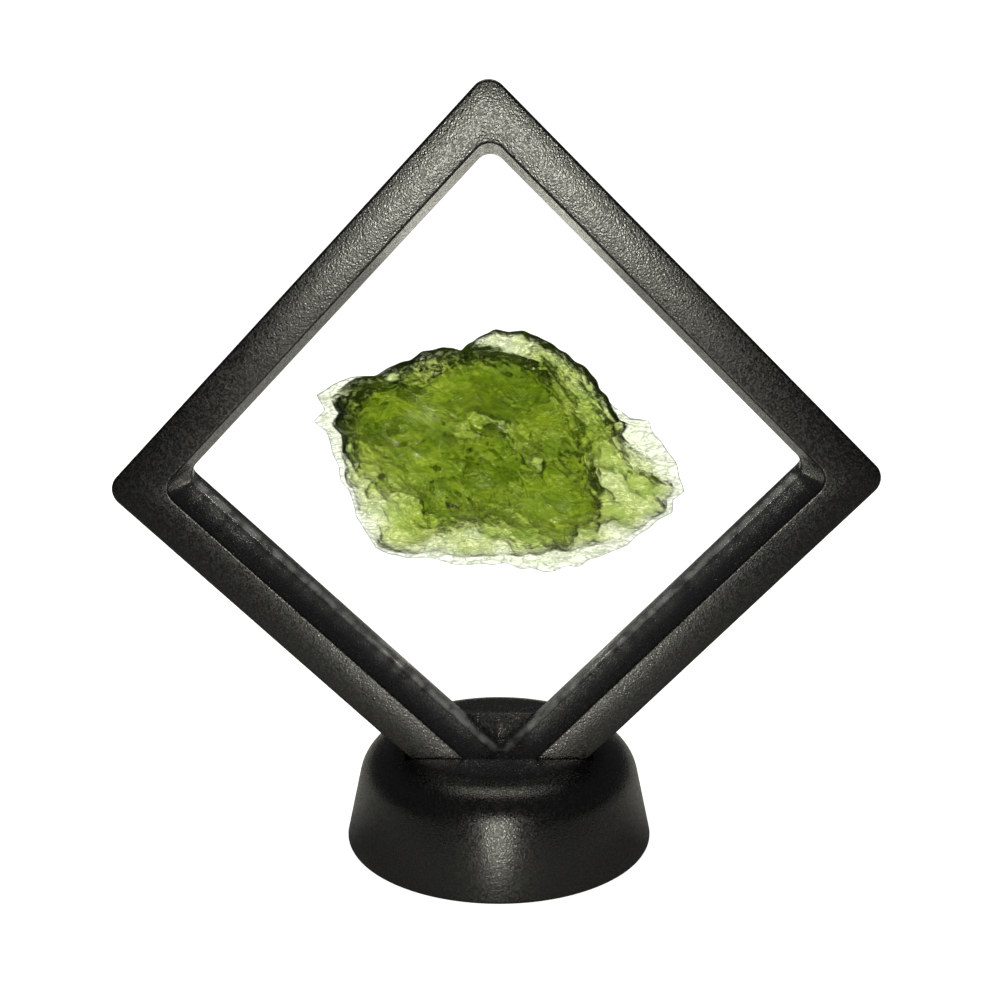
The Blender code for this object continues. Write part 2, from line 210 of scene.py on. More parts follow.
# Creases of the front, in millimetres: first x and z, last x and z, bend, half width, depth
FRONT_CREASES: tuple[tuple[float, ...], ...] = (
    (-25.4, 8.1, -20.3, 6.2, 0.8, 0.32, 1.3),
    (-25.4, 0.8, -19.8, 0.1, 0.4, 0.45, 1.3),
    (-22.4, -0.4, -17.6, -3.9, 1.3, 0.30, 1.0),
    (-17.8, -3.8, -15.0, -3.9, 0.7, 0.25, 0.9),
    (-17.4, -5.0, -16.2, -7.8, 0.3, 0.35, 1.1),
    (-10.2, 10.2, -5.0, 9.2, -0.7, 0.25, 0.9),
    (-5.0, 10.0, -1.8, 7.2, -0.4, 0.22, 0.9),
    (-13.2, 8.0, -11.0, 6.4, 0.2, 0.22, 0.7),
    (-21.0, 13.4, -18.2, 10.8, 0.3, 0.30, 0.9),
    (-9.6, 18.8, -8.3, 16.0, 0.1, 0.35, 1.2),
    (16.4, 7.4, 19.8, 4.4, -0.2, 0.22, 1.0),
    (18.6, 4.4, 22.4, -2.4, -0.3, 0.26, 1.4),
    (20.2, 4.2, 23.2, 0.2, 0.2, 0.20, 1.0),
    (17.4, -0.4, 20.2, -3.4, 0.0, 0.20, 1.1),
    (1.2, -4.9, 5.8, -8.2, 0.3, 0.24, 1.0),
    (6.2, -10.2, 11.2, -12.2, 0.3, 0.24, 0.9),
    (14.4, 4.6, 14.9, -3.4, 0.5, 0.28, 1.0),
    (-4.6, -7.4, -2.2, -7.7, 0.1, 0.22, 0.9),
    (-12.4, -9.9, -9.6, -9.4, 0.3, 0.30, 1.3),
    (-8.6, -9.0, -6.0, -12.2, 0.8, 0.25, 0.9),
    (-3.2, 22.6, -2.9, 20.2, 0.1, 0.25, 1.2),
    (0.6, 22.2, 1.8, 20.0, 0.2, 0.25, 1.2),
    (-4.8, 20.0, 7.4, 18.6, 0.6, 0.35, 1.2),
    (3.0, 12.6, 5.4, 11.8, 0.2, 0.22, 0.7),
    (5.0, 13.4, 7.2, 10.2, 0.1, 0.18, 0.8),
    (23.8, 7.6, 25.0, 6.6, 0.1, 0.22, 0.9),
    (25.0, 7.0, 26.6, 5.2, 0.1, 0.25, 1.0),
    (17.0, -7.4, 22.0, -8.6, 0.5, 0.26, 0.9),
    (-23.0, 14.9, -27.0, 12.6, 0.4, 0.35, 0.8),
)


# Helpers for meshes


def new_piece(name: str, mesh: bpy.types.Mesh) -> bpy.types.Object:
    """Links a mesh into the scene as an untransformed object.

    Args:
        name: The piece's name.
        mesh: Its mesh, with its place already in it.

    Returns:
        The new object.
    """
    piece = bpy.data.objects.new(name, mesh)
    bpy.context.scene.collection.objects.link(piece)
    return piece


def mesh_from_shape(name: str, shape: bmesh.types.BMesh) -> bpy.types.Mesh:
    """Turns a bmesh into a mesh and frees it.

    Args:
        name: The mesh's name.
        shape: The bmesh, which is used up.

    Returns:
        The mesh.
    """
    mesh = bpy.data.meshes.new(name)
    shape.to_mesh(mesh)
    shape.free()
    return mesh


def settle(piece: bpy.types.Object) -> None:
    """Turns a piece's modifiers into plain mesh and removes them.

    Args:
        piece: The piece, whose mesh is exchanged for the evaluated one.
    """
    graph = bpy.context.evaluated_depsgraph_get()
    done = bpy.data.meshes.new_from_object(piece.evaluated_get(graph), depsgraph=graph)
    old = piece.data
    done.name = old.name + "_settled"
    piece.modifiers.clear()
    piece.data = done
    bpy.data.meshes.remove(old)


def smooth_but_edges(mesh: bpy.types.Mesh, edge_degrees: float) -> None:
    """Shades a mesh smooth and keeps edges sharper than this angle crisp.

    Args:
        mesh: The mesh to shade.
        edge_degrees: Angle from which an edge stays crisp.
    """
    mesh.shade_smooth()
    mesh.set_sharp_from_angle(angle=math.radians(edge_degrees))


def rounded_square(half_side: float, radius: float, steps: int) -> list[tuple[float, float]]:
    """Points round a square with rounded corners, counter-clockwise.

    Args:
        half_side: Half the square's side.
        radius: The corners' radius.
        steps: Points on each corner, less one.

    Returns:
        The points, corner by corner.
    """
    points = []
    reach = half_side - radius
    for corner in range(4):
        start = corner * math.pi / 2
        middle = (
            reach * (1 if corner in (0, 3) else -1),
            reach * (1 if corner in (0, 1) else -1),
        )
        for step in range(steps + 1):
            angle = start + math.pi / 2 * step / steps
            points.append((middle[0] + radius * math.cos(angle), middle[1] + radius * math.sin(angle)))
    return points


def arc(middle: tuple[float, float], radius: float, start: float, end: float, steps: int) -> list[tuple[float, float]]:
    """Points along an arc in a section.

    Args:
        middle: The arc's centre.
        radius: Its radius.
        start: First angle in degrees.
        end: Last angle in degrees.
        steps: Number of stretches.

    Returns:
        The points from start to end.
    """
    points = []
    for step in range(steps + 1):
        angle = math.radians(start + (end - start) * step / steps)
        points.append((middle[0] + radius * math.cos(angle), middle[1] + radius * math.sin(angle)))
    return points


def loft(name: str, rings: list[Ring], planes: list[Plane]) -> bpy.types.Mesh:
    """Joins closed rings into one closed band, the last ring back to the first.

    Args:
        name: The mesh's name.
        rings: Rings of equally many points each.
        planes: The material slot of the strip that starts at each ring.

    Returns:
        The closed mesh with its faces pointing out.
    """
    shape = bmesh.new()
    loops = [[shape.verts.new(point) for point in ring] for ring in rings]
    count = len(loops[0])
    for index, loop in enumerate(loops):
        following = loops[(index + 1) % len(loops)]
        for step in range(count):
            ahead = (step + 1) % count
            face = shape.faces.new((loop[step], loop[ahead], following[ahead], following[step]))
            face.material_index = planes[index].value
    bmesh.ops.recalc_face_normals(shape, faces=shape.faces)
    return mesh_from_shape(name, shape)


# Helpers for node trees


def add_node(tree: bpy.types.NodeTree, kind: str, values: dict | None = None, **settings: object) -> bpy.types.Node:
    """Adds a node and sets it up.

    Args:
        tree: The tree that takes the node.
        kind: The node's type name.
        values: Input values by socket name or index.
        **settings: Properties of the node itself.

    Returns:
        The node.
    """
    node = tree.nodes.new(kind)
    for key, value in settings.items():
        setattr(node, key, value)
    for key, value in (values or {}).items():
        node.inputs[key].default_value = value
    return node


def wire(tree: bpy.types.NodeTree, *links: tuple) -> None:
    """Links pairs of sockets, each written as (output, input).

    Args:
        tree: The tree that holds the nodes.
        *links: The pairs.
    """
    for source, target in links:
        tree.links.new(source, target)


def add_sockets(tree: bpy.types.NodeTree, direction: str, sockets: dict[str, tuple]) -> dict[str, str]:
    """Adds named sockets to a group.

    Args:
        tree: The group's tree.
        direction: INPUT or OUTPUT.
        sockets: Socket type and default value by name.

    Returns:
        The sockets' identifiers by name.
    """
    identifiers = {}
    for name, (kind, value) in sockets.items():
        socket = tree.interface.new_socket(name, in_out=direction, socket_type=kind)
        if value is not None:
            socket.default_value = value
        identifiers[name] = socket.identifier
    return identifiers


FLOAT = "NodeSocketFloat"
COLOUR = "NodeSocketColor"
VECTOR = "NodeSocketVector"
INTEGER = "NodeSocketInt"
GEOMETRY = "NodeSocketGeometry"
MATERIAL = "NodeSocketMaterial"


def grain_group() -> bpy.types.NodeTree:
    """Builds the spark-eroded grain that every black moulding shares.

    Returns:
        A group that puts out a height from 0 to 1, a roughness and a colour.
    """
    tree = bpy.data.node_groups.new("spark_eroded_grain", "ShaderNodeTree")
    add_sockets(
        tree,
        "INPUT",
        {
            "Grains per metre": (FLOAT, 4200.0),
            "Roughness low": (FLOAT, 0.34),
            "Roughness high": (FLOAT, 0.5),
            "Colour": (COLOUR, (0.02, 0.02, 0.02, 1.0)),
            "Glitter": (FLOAT, 0.5),
        },
    )
    add_sockets(
        tree,
        "OUTPUT",
        {"Height": (FLOAT, None), "Roughness": (FLOAT, None), "Colour": (COLOUR, None)},
    )
    given = add_node(tree, "NodeGroupInput")
    result = add_node(tree, "NodeGroupOutput")
    place = add_node(tree, "ShaderNodeTexCoord")
    fine = add_node(tree, "ShaderNodeTexNoise", {"Detail": 2.0, "Roughness": 0.7})
    pits = add_node(tree, "ShaderNodeTexVoronoi", feature="F1")
    patches = add_node(tree, "ShaderNodeTexNoise", {"Scale": 90.0, "Detail": 3.0})
    height = add_node(tree, "ShaderNodeMath", {1: 0.55}, operation="MULTIPLY_ADD")
    spread = add_node(tree, "ShaderNodeMapRange", {"From Min": 0.2, "From Max": 0.8})
    hue = add_node(tree, "ShaderNodeHueSaturation", {"Saturation": 0.55, "Value": 1.0})
    speckle = add_node(tree, "ShaderNodeMix", data_type="RGBA", blend_type="MULTIPLY")
    worn = add_node(tree, "ShaderNodeMapRange", {"From Min": 0.3, "From Max": 0.7, "To Min": 0.85, "To Max": 1.15})
    tinted = add_node(tree, "ShaderNodeMix", {"Factor": 1.0}, data_type="RGBA", blend_type="MULTIPLY")
    wire(
        tree,
        (place.outputs["Object"], fine.inputs["Vector"]),
        (place.outputs["Object"], pits.inputs["Vector"]),
        (place.outputs["Object"], patches.inputs["Vector"]),
        (given.outputs["Grains per metre"], fine.inputs["Scale"]),
        (given.outputs["Grains per metre"], pits.inputs["Scale"]),
        (fine.outputs["Fac"], height.inputs[0]),
        (pits.outputs["Distance"], height.inputs[2]),
        (height.outputs["Value"], result.inputs["Height"]),
        (pits.outputs["Color"], spread.inputs["Value"]),
        (given.outputs["Roughness low"], spread.inputs["To Min"]),
        (given.outputs["Roughness high"], spread.inputs["To Max"]),
        (spread.outputs["Result"], result.inputs["Roughness"]),
        (pits.outputs["Color"], hue.inputs["Color"]),
        (given.outputs["Glitter"], speckle.inputs["Factor"]),
        (given.outputs["Colour"], speckle.inputs[6]),
        (hue.outputs["Color"], speckle.inputs[7]),
        (patches.outputs["Fac"], worn.inputs["Value"]),
        (speckle.outputs[2], tinted.inputs[6]),
        (worn.outputs["Result"], tinted.inputs[7]),
        (tinted.outputs[2], result.inputs["Colour"]),
    )
    return tree


@dataclass(frozen=True)
class MouldedPlastic:
    """Black moulded plastic: a spark-eroded grain, or a nearly polished wall with a fainter grain."""

    name: str
    grain: bpy.types.NodeTree
    colour: Point = (0.0035, 0.0035, 0.0034)
    roughness: tuple[float, float] = (0.17, 0.37)
    grains_per_metre: float = 3500.0
    bump: float = 0.9
    bump_distance: float = 0.03 * MM
    glitter: float = 0.4
    specular: float = 1.0

    def material(self) -> bpy.types.Material:
        """Builds the material.

        Returns:
            A material with a Principled shader fed by the shared grain.
        """
        material = bpy.data.materials.new(self.name)
        material.use_nodes = True
        tree = material.node_tree
        shader = tree.nodes["Principled BSDF"]
        shader.inputs["Specular IOR Level"].default_value = self.specular
        texture = add_node(
            tree,
            "ShaderNodeGroup",
            node_tree=self.grain,
        )
        texture.inputs["Grains per metre"].default_value = self.grains_per_metre
        texture.inputs["Roughness low"].default_value = self.roughness[0]
        texture.inputs["Roughness high"].default_value = self.roughness[1]
        texture.inputs["Colour"].default_value = (*self.colour, 1.0)
        texture.inputs["Glitter"].default_value = self.glitter
        bump = add_node(tree, "ShaderNodeBump", {"Strength": self.bump, "Distance": self.bump_distance})
        wire(
            tree,
            (texture.outputs["Height"], bump.inputs["Height"]),
            (texture.outputs["Roughness"], shader.inputs["Roughness"]),
            (texture.outputs["Colour"], shader.inputs["Base Color"]),
            (bump.outputs["Normal"], shader.inputs["Normal"]),
        )
        return material


@dataclass(frozen=True)
class NaturalGlass:
    """Olive green natural glass, coloured by its depth and etched on its skin. Its colour is darkened along fine crease
    lines as painted shade, and mottled with darker and near-white flecks as painted light and shade.
    """

    name: str = "moldavite_glass"
    index: float = 1.49
    absorption_colour: Point = (0.663, 0.732, 0.02)
    absorption_density: float = 370.0
    roughness: tuple[float, float] = (0.02, 0.12)
    # Colour painted along the fold and crack lines: painted shade in the skin's creases
    painted_crease_colour: Point = (0.38, 0.49, 0.22)
    # Darker end of the flecks painted into the colour, whose paler end is near white: painted light and shade
    painted_shade_colour: Point = (0.42, 0.55, 0.22)
    thin_clear: float = 0.8
    bump: float = 0.55
    bump_distance: float = 0.3 * MM

    def material(self) -> bpy.types.Material:
        """Builds the material.

        Returns:
            A see-through material with plain transmission, index and absorption.
        """
        material = bpy.data.materials.new(self.name)
        material.use_nodes = True
        tree = material.node_tree
        shader = tree.nodes["Principled BSDF"]
        output = tree.nodes["Material Output"]
        shader.inputs["Transmission Weight"].default_value = 1.0
        shader.inputs["IOR"].default_value = self.index
        inside = add_node(tree, "ShaderNodeVolumeAbsorption")
        inside.inputs["Color"].default_value = (*self.absorption_colour, 1.0)
        inside.inputs["Density"].default_value = self.absorption_density
        place = add_node(tree, "ShaderNodeTexCoord")
        flow = add_node(tree, "ShaderNodeMapping")
        flow.inputs["Rotation"].default_value = (0.0, math.radians(-50.0), 0.0)
        flow.inputs["Scale"].default_value = (1.0, 1.0, 2.6)
        etch = add_node(tree, "ShaderNodeTexNoise", {"Scale": 900.0, "Detail": 4.0, "Roughness": 0.6})
        # Fold and crack lines, along which the colour is darkened as painted shade in the creases
        folds = add_node(
            tree, "ShaderNodeTexNoise", {"Scale": 330.0, "Detail": 5.0, "Roughness": 0.62, "Distortion": 0.6}
        )
        fold_side = add_node(tree, "ShaderNodeMath", {1: 0.5}, operation="SUBTRACT")
        fold_line = add_node(tree, "ShaderNodeMath", operation="ABSOLUTE")
        fold_shade_mask = add_node(tree, "ShaderNodeMapRange", {"From Max": 0.045})
        cracks = add_node(tree, "ShaderNodeTexVoronoi", {"Scale": 420.0}, feature="DISTANCE_TO_EDGE")
        crack_bend = add_node(tree, "ShaderNodeVectorMath", {3: 0.0012}, operation="SCALE")
        crack_place = add_node(tree, "ShaderNodeVectorMath", operation="ADD")
        crack_shade_mask = add_node(tree, "ShaderNodeMapRange", {"From Max": 0.08, "To Min": 0.2})
        lines = add_node(tree, "ShaderNodeMath", operation="MULTIPLY")
        crease_shaded = add_node(tree, "ShaderNodeMix", data_type="RGBA")
        thick = add_node(tree, "ShaderNodeAttribute", attribute_name="thick")
        thin = add_node(
            tree, "ShaderNodeMapRange", {"From Min": 0.25, "From Max": 0.9, "To Min": self.thin_clear, "To Max": 0.0}
        )
        painted_crease_tone = add_node(tree, "ShaderNodeMix", data_type="RGBA")
        painted_crease_tone.inputs[6].default_value = (*self.painted_crease_colour, 1.0)
        painted_crease_tone.inputs[7].default_value = (0.42, 0.45, 0.40, 1.0)
        cleared = add_node(tree, "ShaderNodeMix", data_type="RGBA")
        cleared.inputs[7].default_value = (0.97, 0.99, 0.97, 1.0)
        frost_and_painted_light = add_node(tree, "ShaderNodeTexNoise", {"Scale": 170.0, "Detail": 6.0, "Roughness": 0.6})
        dull = add_node(
            tree,
            "ShaderNodeMapRange",
            {"From Min": 0.45, "From Max": 0.7, "To Min": self.roughness[0], "To Max": self.roughness[1]},
        )
        # Painted light and shade: the frost noise mottles the colour with darker green and near-white flecks, standing
        # for light bent through the skin
        pale = add_node(tree, "ShaderNodeValToRGB")
        pale.color_ramp.elements[0].position = 0.42
        pale.color_ramp.elements[0].color = (*self.painted_shade_colour, 1.0)
        pale.color_ramp.elements[1].position = 0.55
        pale.color_ramp.elements[1].color = (0.99, 1.0, 0.95, 1.0)
        bump = add_node(tree, "ShaderNodeBump", {"Strength": self.bump, "Distance": self.bump_distance})
        wire(
            tree,
            (inside.outputs["Volume"], output.inputs["Volume"]),
            (place.outputs["Object"], flow.inputs["Vector"]),
            (flow.outputs["Vector"], etch.inputs["Vector"]),
            (flow.outputs["Vector"], frost_and_painted_light.inputs["Vector"]),
            (frost_and_painted_light.outputs["Fac"], dull.inputs["Value"]),
            (dull.outputs["Result"], shader.inputs["Roughness"]),
            (frost_and_painted_light.outputs["Fac"], pale.inputs["Fac"]),
            (flow.outputs["Vector"], folds.inputs["Vector"]),
            (folds.outputs["Fac"], fold_side.inputs[0]),
            (fold_side.outputs["Value"], fold_line.inputs[0]),
            (fold_line.outputs["Value"], fold_shade_mask.inputs["Value"]),
            (folds.outputs["Color"], crack_bend.inputs[0]),
            (crack_bend.outputs["Vector"], crack_place.inputs[0]),
            (flow.outputs["Vector"], crack_place.inputs[1]),
            (crack_place.outputs["Vector"], cracks.inputs["Vector"]),
            (cracks.outputs["Distance"], crack_shade_mask.inputs["Value"]),
            (fold_shade_mask.outputs["Result"], lines.inputs[0]),
            (crack_shade_mask.outputs["Result"], lines.inputs[1]),
            (lines.outputs["Value"], crease_shaded.inputs["Factor"]),
            (pale.outputs["Color"], cleared.inputs[6]),
            (thick.outputs["Fac"], thin.inputs["Value"]),
            (thin.outputs["Result"], cleared.inputs["Factor"]),
            (thin.outputs["Result"], painted_crease_tone.inputs["Factor"]),
            (painted_crease_tone.outputs[2], crease_shaded.inputs[6]),
            (cleared.outputs[2], crease_shaded.inputs[7]),
            (crease_shaded.outputs[2], shader.inputs["Base Color"]),
            (etch.outputs["Fac"], bump.inputs["Height"]),
            (bump.outputs["Normal"], shader.inputs["Normal"]),
        )
        return material


@dataclass(frozen=True)
class StretchedFilm:
    """Clear film: nearly nothing face on, a soft sheen at a slant, and a whiter broken line along the lower half of its
    border, which is a painted glint of light on the film's edge.
    """

    name: str = "clear_film"
    tint: Point = (0.12, 0.13, 0.14)
    face_on: float = 0.008
    slanted: float = 0.35
    roughness: float = 0.06

    def material(self) -> bpy.types.Material:
        """Builds the material.

        Returns:
            A see-through material whose cover follows the slant and the painted glint line along the border.
        """
        material = bpy.data.materials.new(self.name)
        material.use_nodes = True
        tree = material.node_tree
        shader = tree.nodes["Principled BSDF"]
        shader.inputs["Specular IOR Level"].default_value = 1.0
        slant = add_node(tree, "ShaderNodeLayerWeight", {"Blend": 0.25})
        cover = add_node(tree, "ShaderNodeMapRange", {"To Min": self.face_on, "To Max": self.slanted})
        # Border strip, where the colour turns whiter and the cover denser in broken dashes: a painted glint of light on
        # the film's edge
        glint_line = add_node(tree, "ShaderNodeAttribute", attribute_name="glint_line")
        both = add_node(tree, "ShaderNodeMath", operation="MAXIMUM")
        place = add_node(tree, "ShaderNodeTexCoord")
        haze = add_node(tree, "ShaderNodeTexNoise", {"Scale": 420.0, "Detail": 3.0})
        dashes = add_node(tree, "ShaderNodeMapRange", {"From Min": 0.42, "From Max": 0.62, "To Min": 0.15})
        dashed = add_node(tree, "ShaderNodeMath", operation="MULTIPLY")
        glint_line_share = add_node(tree, "ShaderNodeMapRange", {"From Max": 0.05})
        tint_and_glint = add_node(tree, "ShaderNodeMix", data_type="RGBA")
        tint_and_glint.inputs[6].default_value = (*self.tint, 1.0)
        tint_and_glint.inputs[7].default_value = (0.9, 0.92, 0.95, 1.0)
        dull = add_node(
            tree,
            "ShaderNodeMapRange",
            {"From Min": 0.3, "From Max": 0.7, "To Min": self.roughness * 0.6, "To Max": self.roughness * 1.6},
        )
        ripple = add_node(tree, "ShaderNodeTexNoise", {"Scale": 60.0, "Detail": 1.0})
        bump = add_node(tree, "ShaderNodeBump", {"Strength": 0.25, "Distance": 0.1 * MM})
        wire(
            tree,
            (slant.outputs["Fresnel"], cover.inputs["Value"]),
            (cover.outputs["Result"], both.inputs[0]),
            (haze.outputs["Fac"], dashes.inputs["Value"]),
            (glint_line.outputs["Fac"], dashed.inputs[0]),
            (dashes.outputs["Result"], dashed.inputs[1]),
            (dashed.outputs["Value"], both.inputs[1]),
            (glint_line.outputs["Fac"], glint_line_share.inputs["Value"]),
            (glint_line_share.outputs["Result"], tint_and_glint.inputs["Factor"]),
            (tint_and_glint.outputs[2], shader.inputs["Base Color"]),
            (both.outputs["Value"], shader.inputs["Alpha"]),
            (place.outputs["Object"], haze.inputs["Vector"]),
            (haze.outputs["Fac"], dull.inputs["Value"]),
            (dull.outputs["Result"], shader.inputs["Roughness"]),
            (place.outputs["Object"], ripple.inputs["Vector"]),
            (ripple.outputs["Fac"], bump.inputs["Height"]),
            (bump.outputs["Normal"], shader.inputs["Normal"]),
        )
        return material


def seen_straight(tree: bpy.types.NodeTree) -> bpy.types.NodeSocket:
    """Tells what is seen straight or through clear things, 1, from what is seen in a reflection, 0.

    Args:
        tree: The tree that takes the nodes.

    Returns:
        The value's socket.
    """
    path = add_node(tree, "ShaderNodeLightPath")
    straight = add_node(tree, "ShaderNodeMath", operation="MAXIMUM")
    wire(
        tree,
        (path.outputs["Is Camera Ray"], straight.inputs[0]),
        (path.outputs["Is Transmission Ray"], straight.inputs[1]),
    )
    return straight.outputs["Value"]


@dataclass(frozen=True)
class StudioPaper:
    """Plain pale paper of the floor, lit from beneath, with the faint mottling of its fibres."""

    name: str = "studio_paper"
    light: Point = (0.88, 0.88, 0.88)
    dark: Point = (0.85, 0.85, 0.85)
    lit: float = 1.0

    def material(self) -> bpy.types.Material:
        """Builds the material.

        Returns:
            A matte, almost white material.
        """
        material = bpy.data.materials.new(self.name)
        material.use_nodes = True
        tree = material.node_tree
        shader = tree.nodes["Principled BSDF"]
        shader.inputs["Roughness"].default_value = 0.9
        shader.inputs["Specular IOR Level"].default_value = 0.1
        place = add_node(tree, "ShaderNodeTexCoord")
        fibres = add_node(tree, "ShaderNodeTexNoise", {"Scale": 300.0, "Detail": 3.0})
        tone = add_node(tree, "ShaderNodeValToRGB")
        tone.color_ramp.elements[0].color = (*self.dark, 1.0)
        tone.color_ramp.elements[1].color = (*self.light, 1.0)
        shader.inputs["Emission Color"].default_value = (1.0, 1.0, 1.0, 1.0)
        glow = add_node(tree, "ShaderNodeMath", {1: self.lit}, operation="MULTIPLY")
        material.cycles.emission_sampling = "NONE"
        wire(
            tree,
            (seen_straight(tree), glow.inputs[0]),
            (glow.outputs["Value"], shader.inputs["Emission Strength"]),
            (place.outputs["Object"], fibres.inputs["Vector"]),
            (fibres.outputs["Fac"], tone.inputs["Fac"]),
            (tone.outputs["Color"], shader.inputs["Base Color"]),
        )
        return material


@dataclass
class SquareFrame:
    """The square black frame: two moulded halves that meet on the middle plane, stood on one corner."""

    side: float = 90.0 * MM
    depth: float = 20.0 * MM
    middle_height: float = 66.6 * MM
    turn: float = math.radians(45.0 - 0.96)
    corner_radius: float = 3.0 * MM
    edge_radius: float = 0.45 * MM
    seam_radius: float = 0.25 * MM
    lip_radius: float = 0.2 * MM
    window_at_face: float = 76.7 * MM
    window_at_middle: float = 74.0 * MM
    window_corner: float = 2.7 * MM
    seat_side: float = 79.0 * MM
    seat_depth: float = 0.75 * MM
    seam: float = 0.01 * MM
    corner_steps: int = 14
    fillet_steps: int = 4
    halves: dict[Side, bpy.types.Object] = field(default_factory=dict)

    def placement(self) -> Matrix:
        """Carries the frame's own square axes to where the frame stands."""
        return Matrix.Translation((0.0, 0.0, self.middle_height)) @ Matrix.Rotation(self.turn, 4, "Y")

    def window_half(self, distance: float) -> float:
        """Half the window's side at this distance from the middle plane."""
        widening = (self.window_at_face - self.window_at_middle) / self.depth
        return self.window_at_middle / 2 + widening * distance

    def section(self) -> list[tuple[float, float, float, Plane]]:
        """Lists the half's section, once round.

        Returns:
            For each ring its half side, corner radius, distance from the middle plane and material slot.
        """
        half, face = self.side / 2, self.depth / 2
        rings: list[tuple[float, float, float, Plane]] = []
        seam_arc = arc((half - self.seam_radius, self.seam + self.seam_radius), self.seam_radius, -90, 0, 3)
        face_arc = arc((half - self.edge_radius, face - self.edge_radius), self.edge_radius, 0, 90, self.fillet_steps)
        for reach, distance in seam_arc + face_arc:
            rings.append((reach, self.corner_radius - (half - reach), distance, Plane.GRAINED))
        draft = math.degrees(math.atan((self.window_at_face - self.window_at_middle) / self.depth))
        opening = self.window_half(face)
        inner_arc = arc(
            (opening + self.edge_radius, face - self.edge_radius), self.edge_radius, 90, 180 + draft, self.fillet_steps
        )
        for reach, distance in inner_arc:
            rings.append((reach, self.window_corner + reach - opening, distance, Plane.GRAINED))
        lip = self.window_half(self.seat_depth)
        lip_arc = arc(
            (lip + self.lip_radius, self.seat_depth + self.lip_radius), self.lip_radius, 180, 270, 3
        )
        for index, (reach, distance) in enumerate(lip_arc):
            rings.append((reach, self.window_corner + reach - lip, distance, Plane.POLISHED))
        rings[len(rings) - len(lip_arc) - 1] = (*rings[len(rings) - len(lip_arc) - 1][:3], Plane.POLISHED)
        rings.append((self.seat_side / 2, 0.8 * MM, self.seat_depth, Plane.POLISHED))
        rings.append((self.seat_side / 2, 0.8 * MM, self.seam, Plane.GRAINED))
        return rings

    def build(self) -> None:
        """Builds both halves from the same section."""
        place = self.placement()
        for side in Side:
            rings: list[Ring] = []
            planes: list[Plane] = []
            for reach, radius, distance, plane in self.section():
                outline = rounded_square(reach, radius, self.corner_steps)
                rings.append([tuple(place @ Vector((u, side.value * distance, w))) for u, w in outline])
                planes.append(plane)
            mesh = loft(f"{side.node}_half", rings, planes)
            smooth_but_edges(mesh, 32.0)
            self.halves[side] = new_piece(f"{side.node}_half", mesh)

    def dress(self, grained: bpy.types.Material, polished: bpy.types.Material) -> None:
        """Gives the halves their plastic and stands them for their CAD nodes.

        Args:
            grained: Plastic of the faces and the outside.
            polished: Plastic of the window's walls.
        """
        for side, half in self.halves.items():
            half.data.materials.append(grained)
            half.data.materials.append(polished)
            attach(half, BODY)
            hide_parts(f"{side.node}_frame")


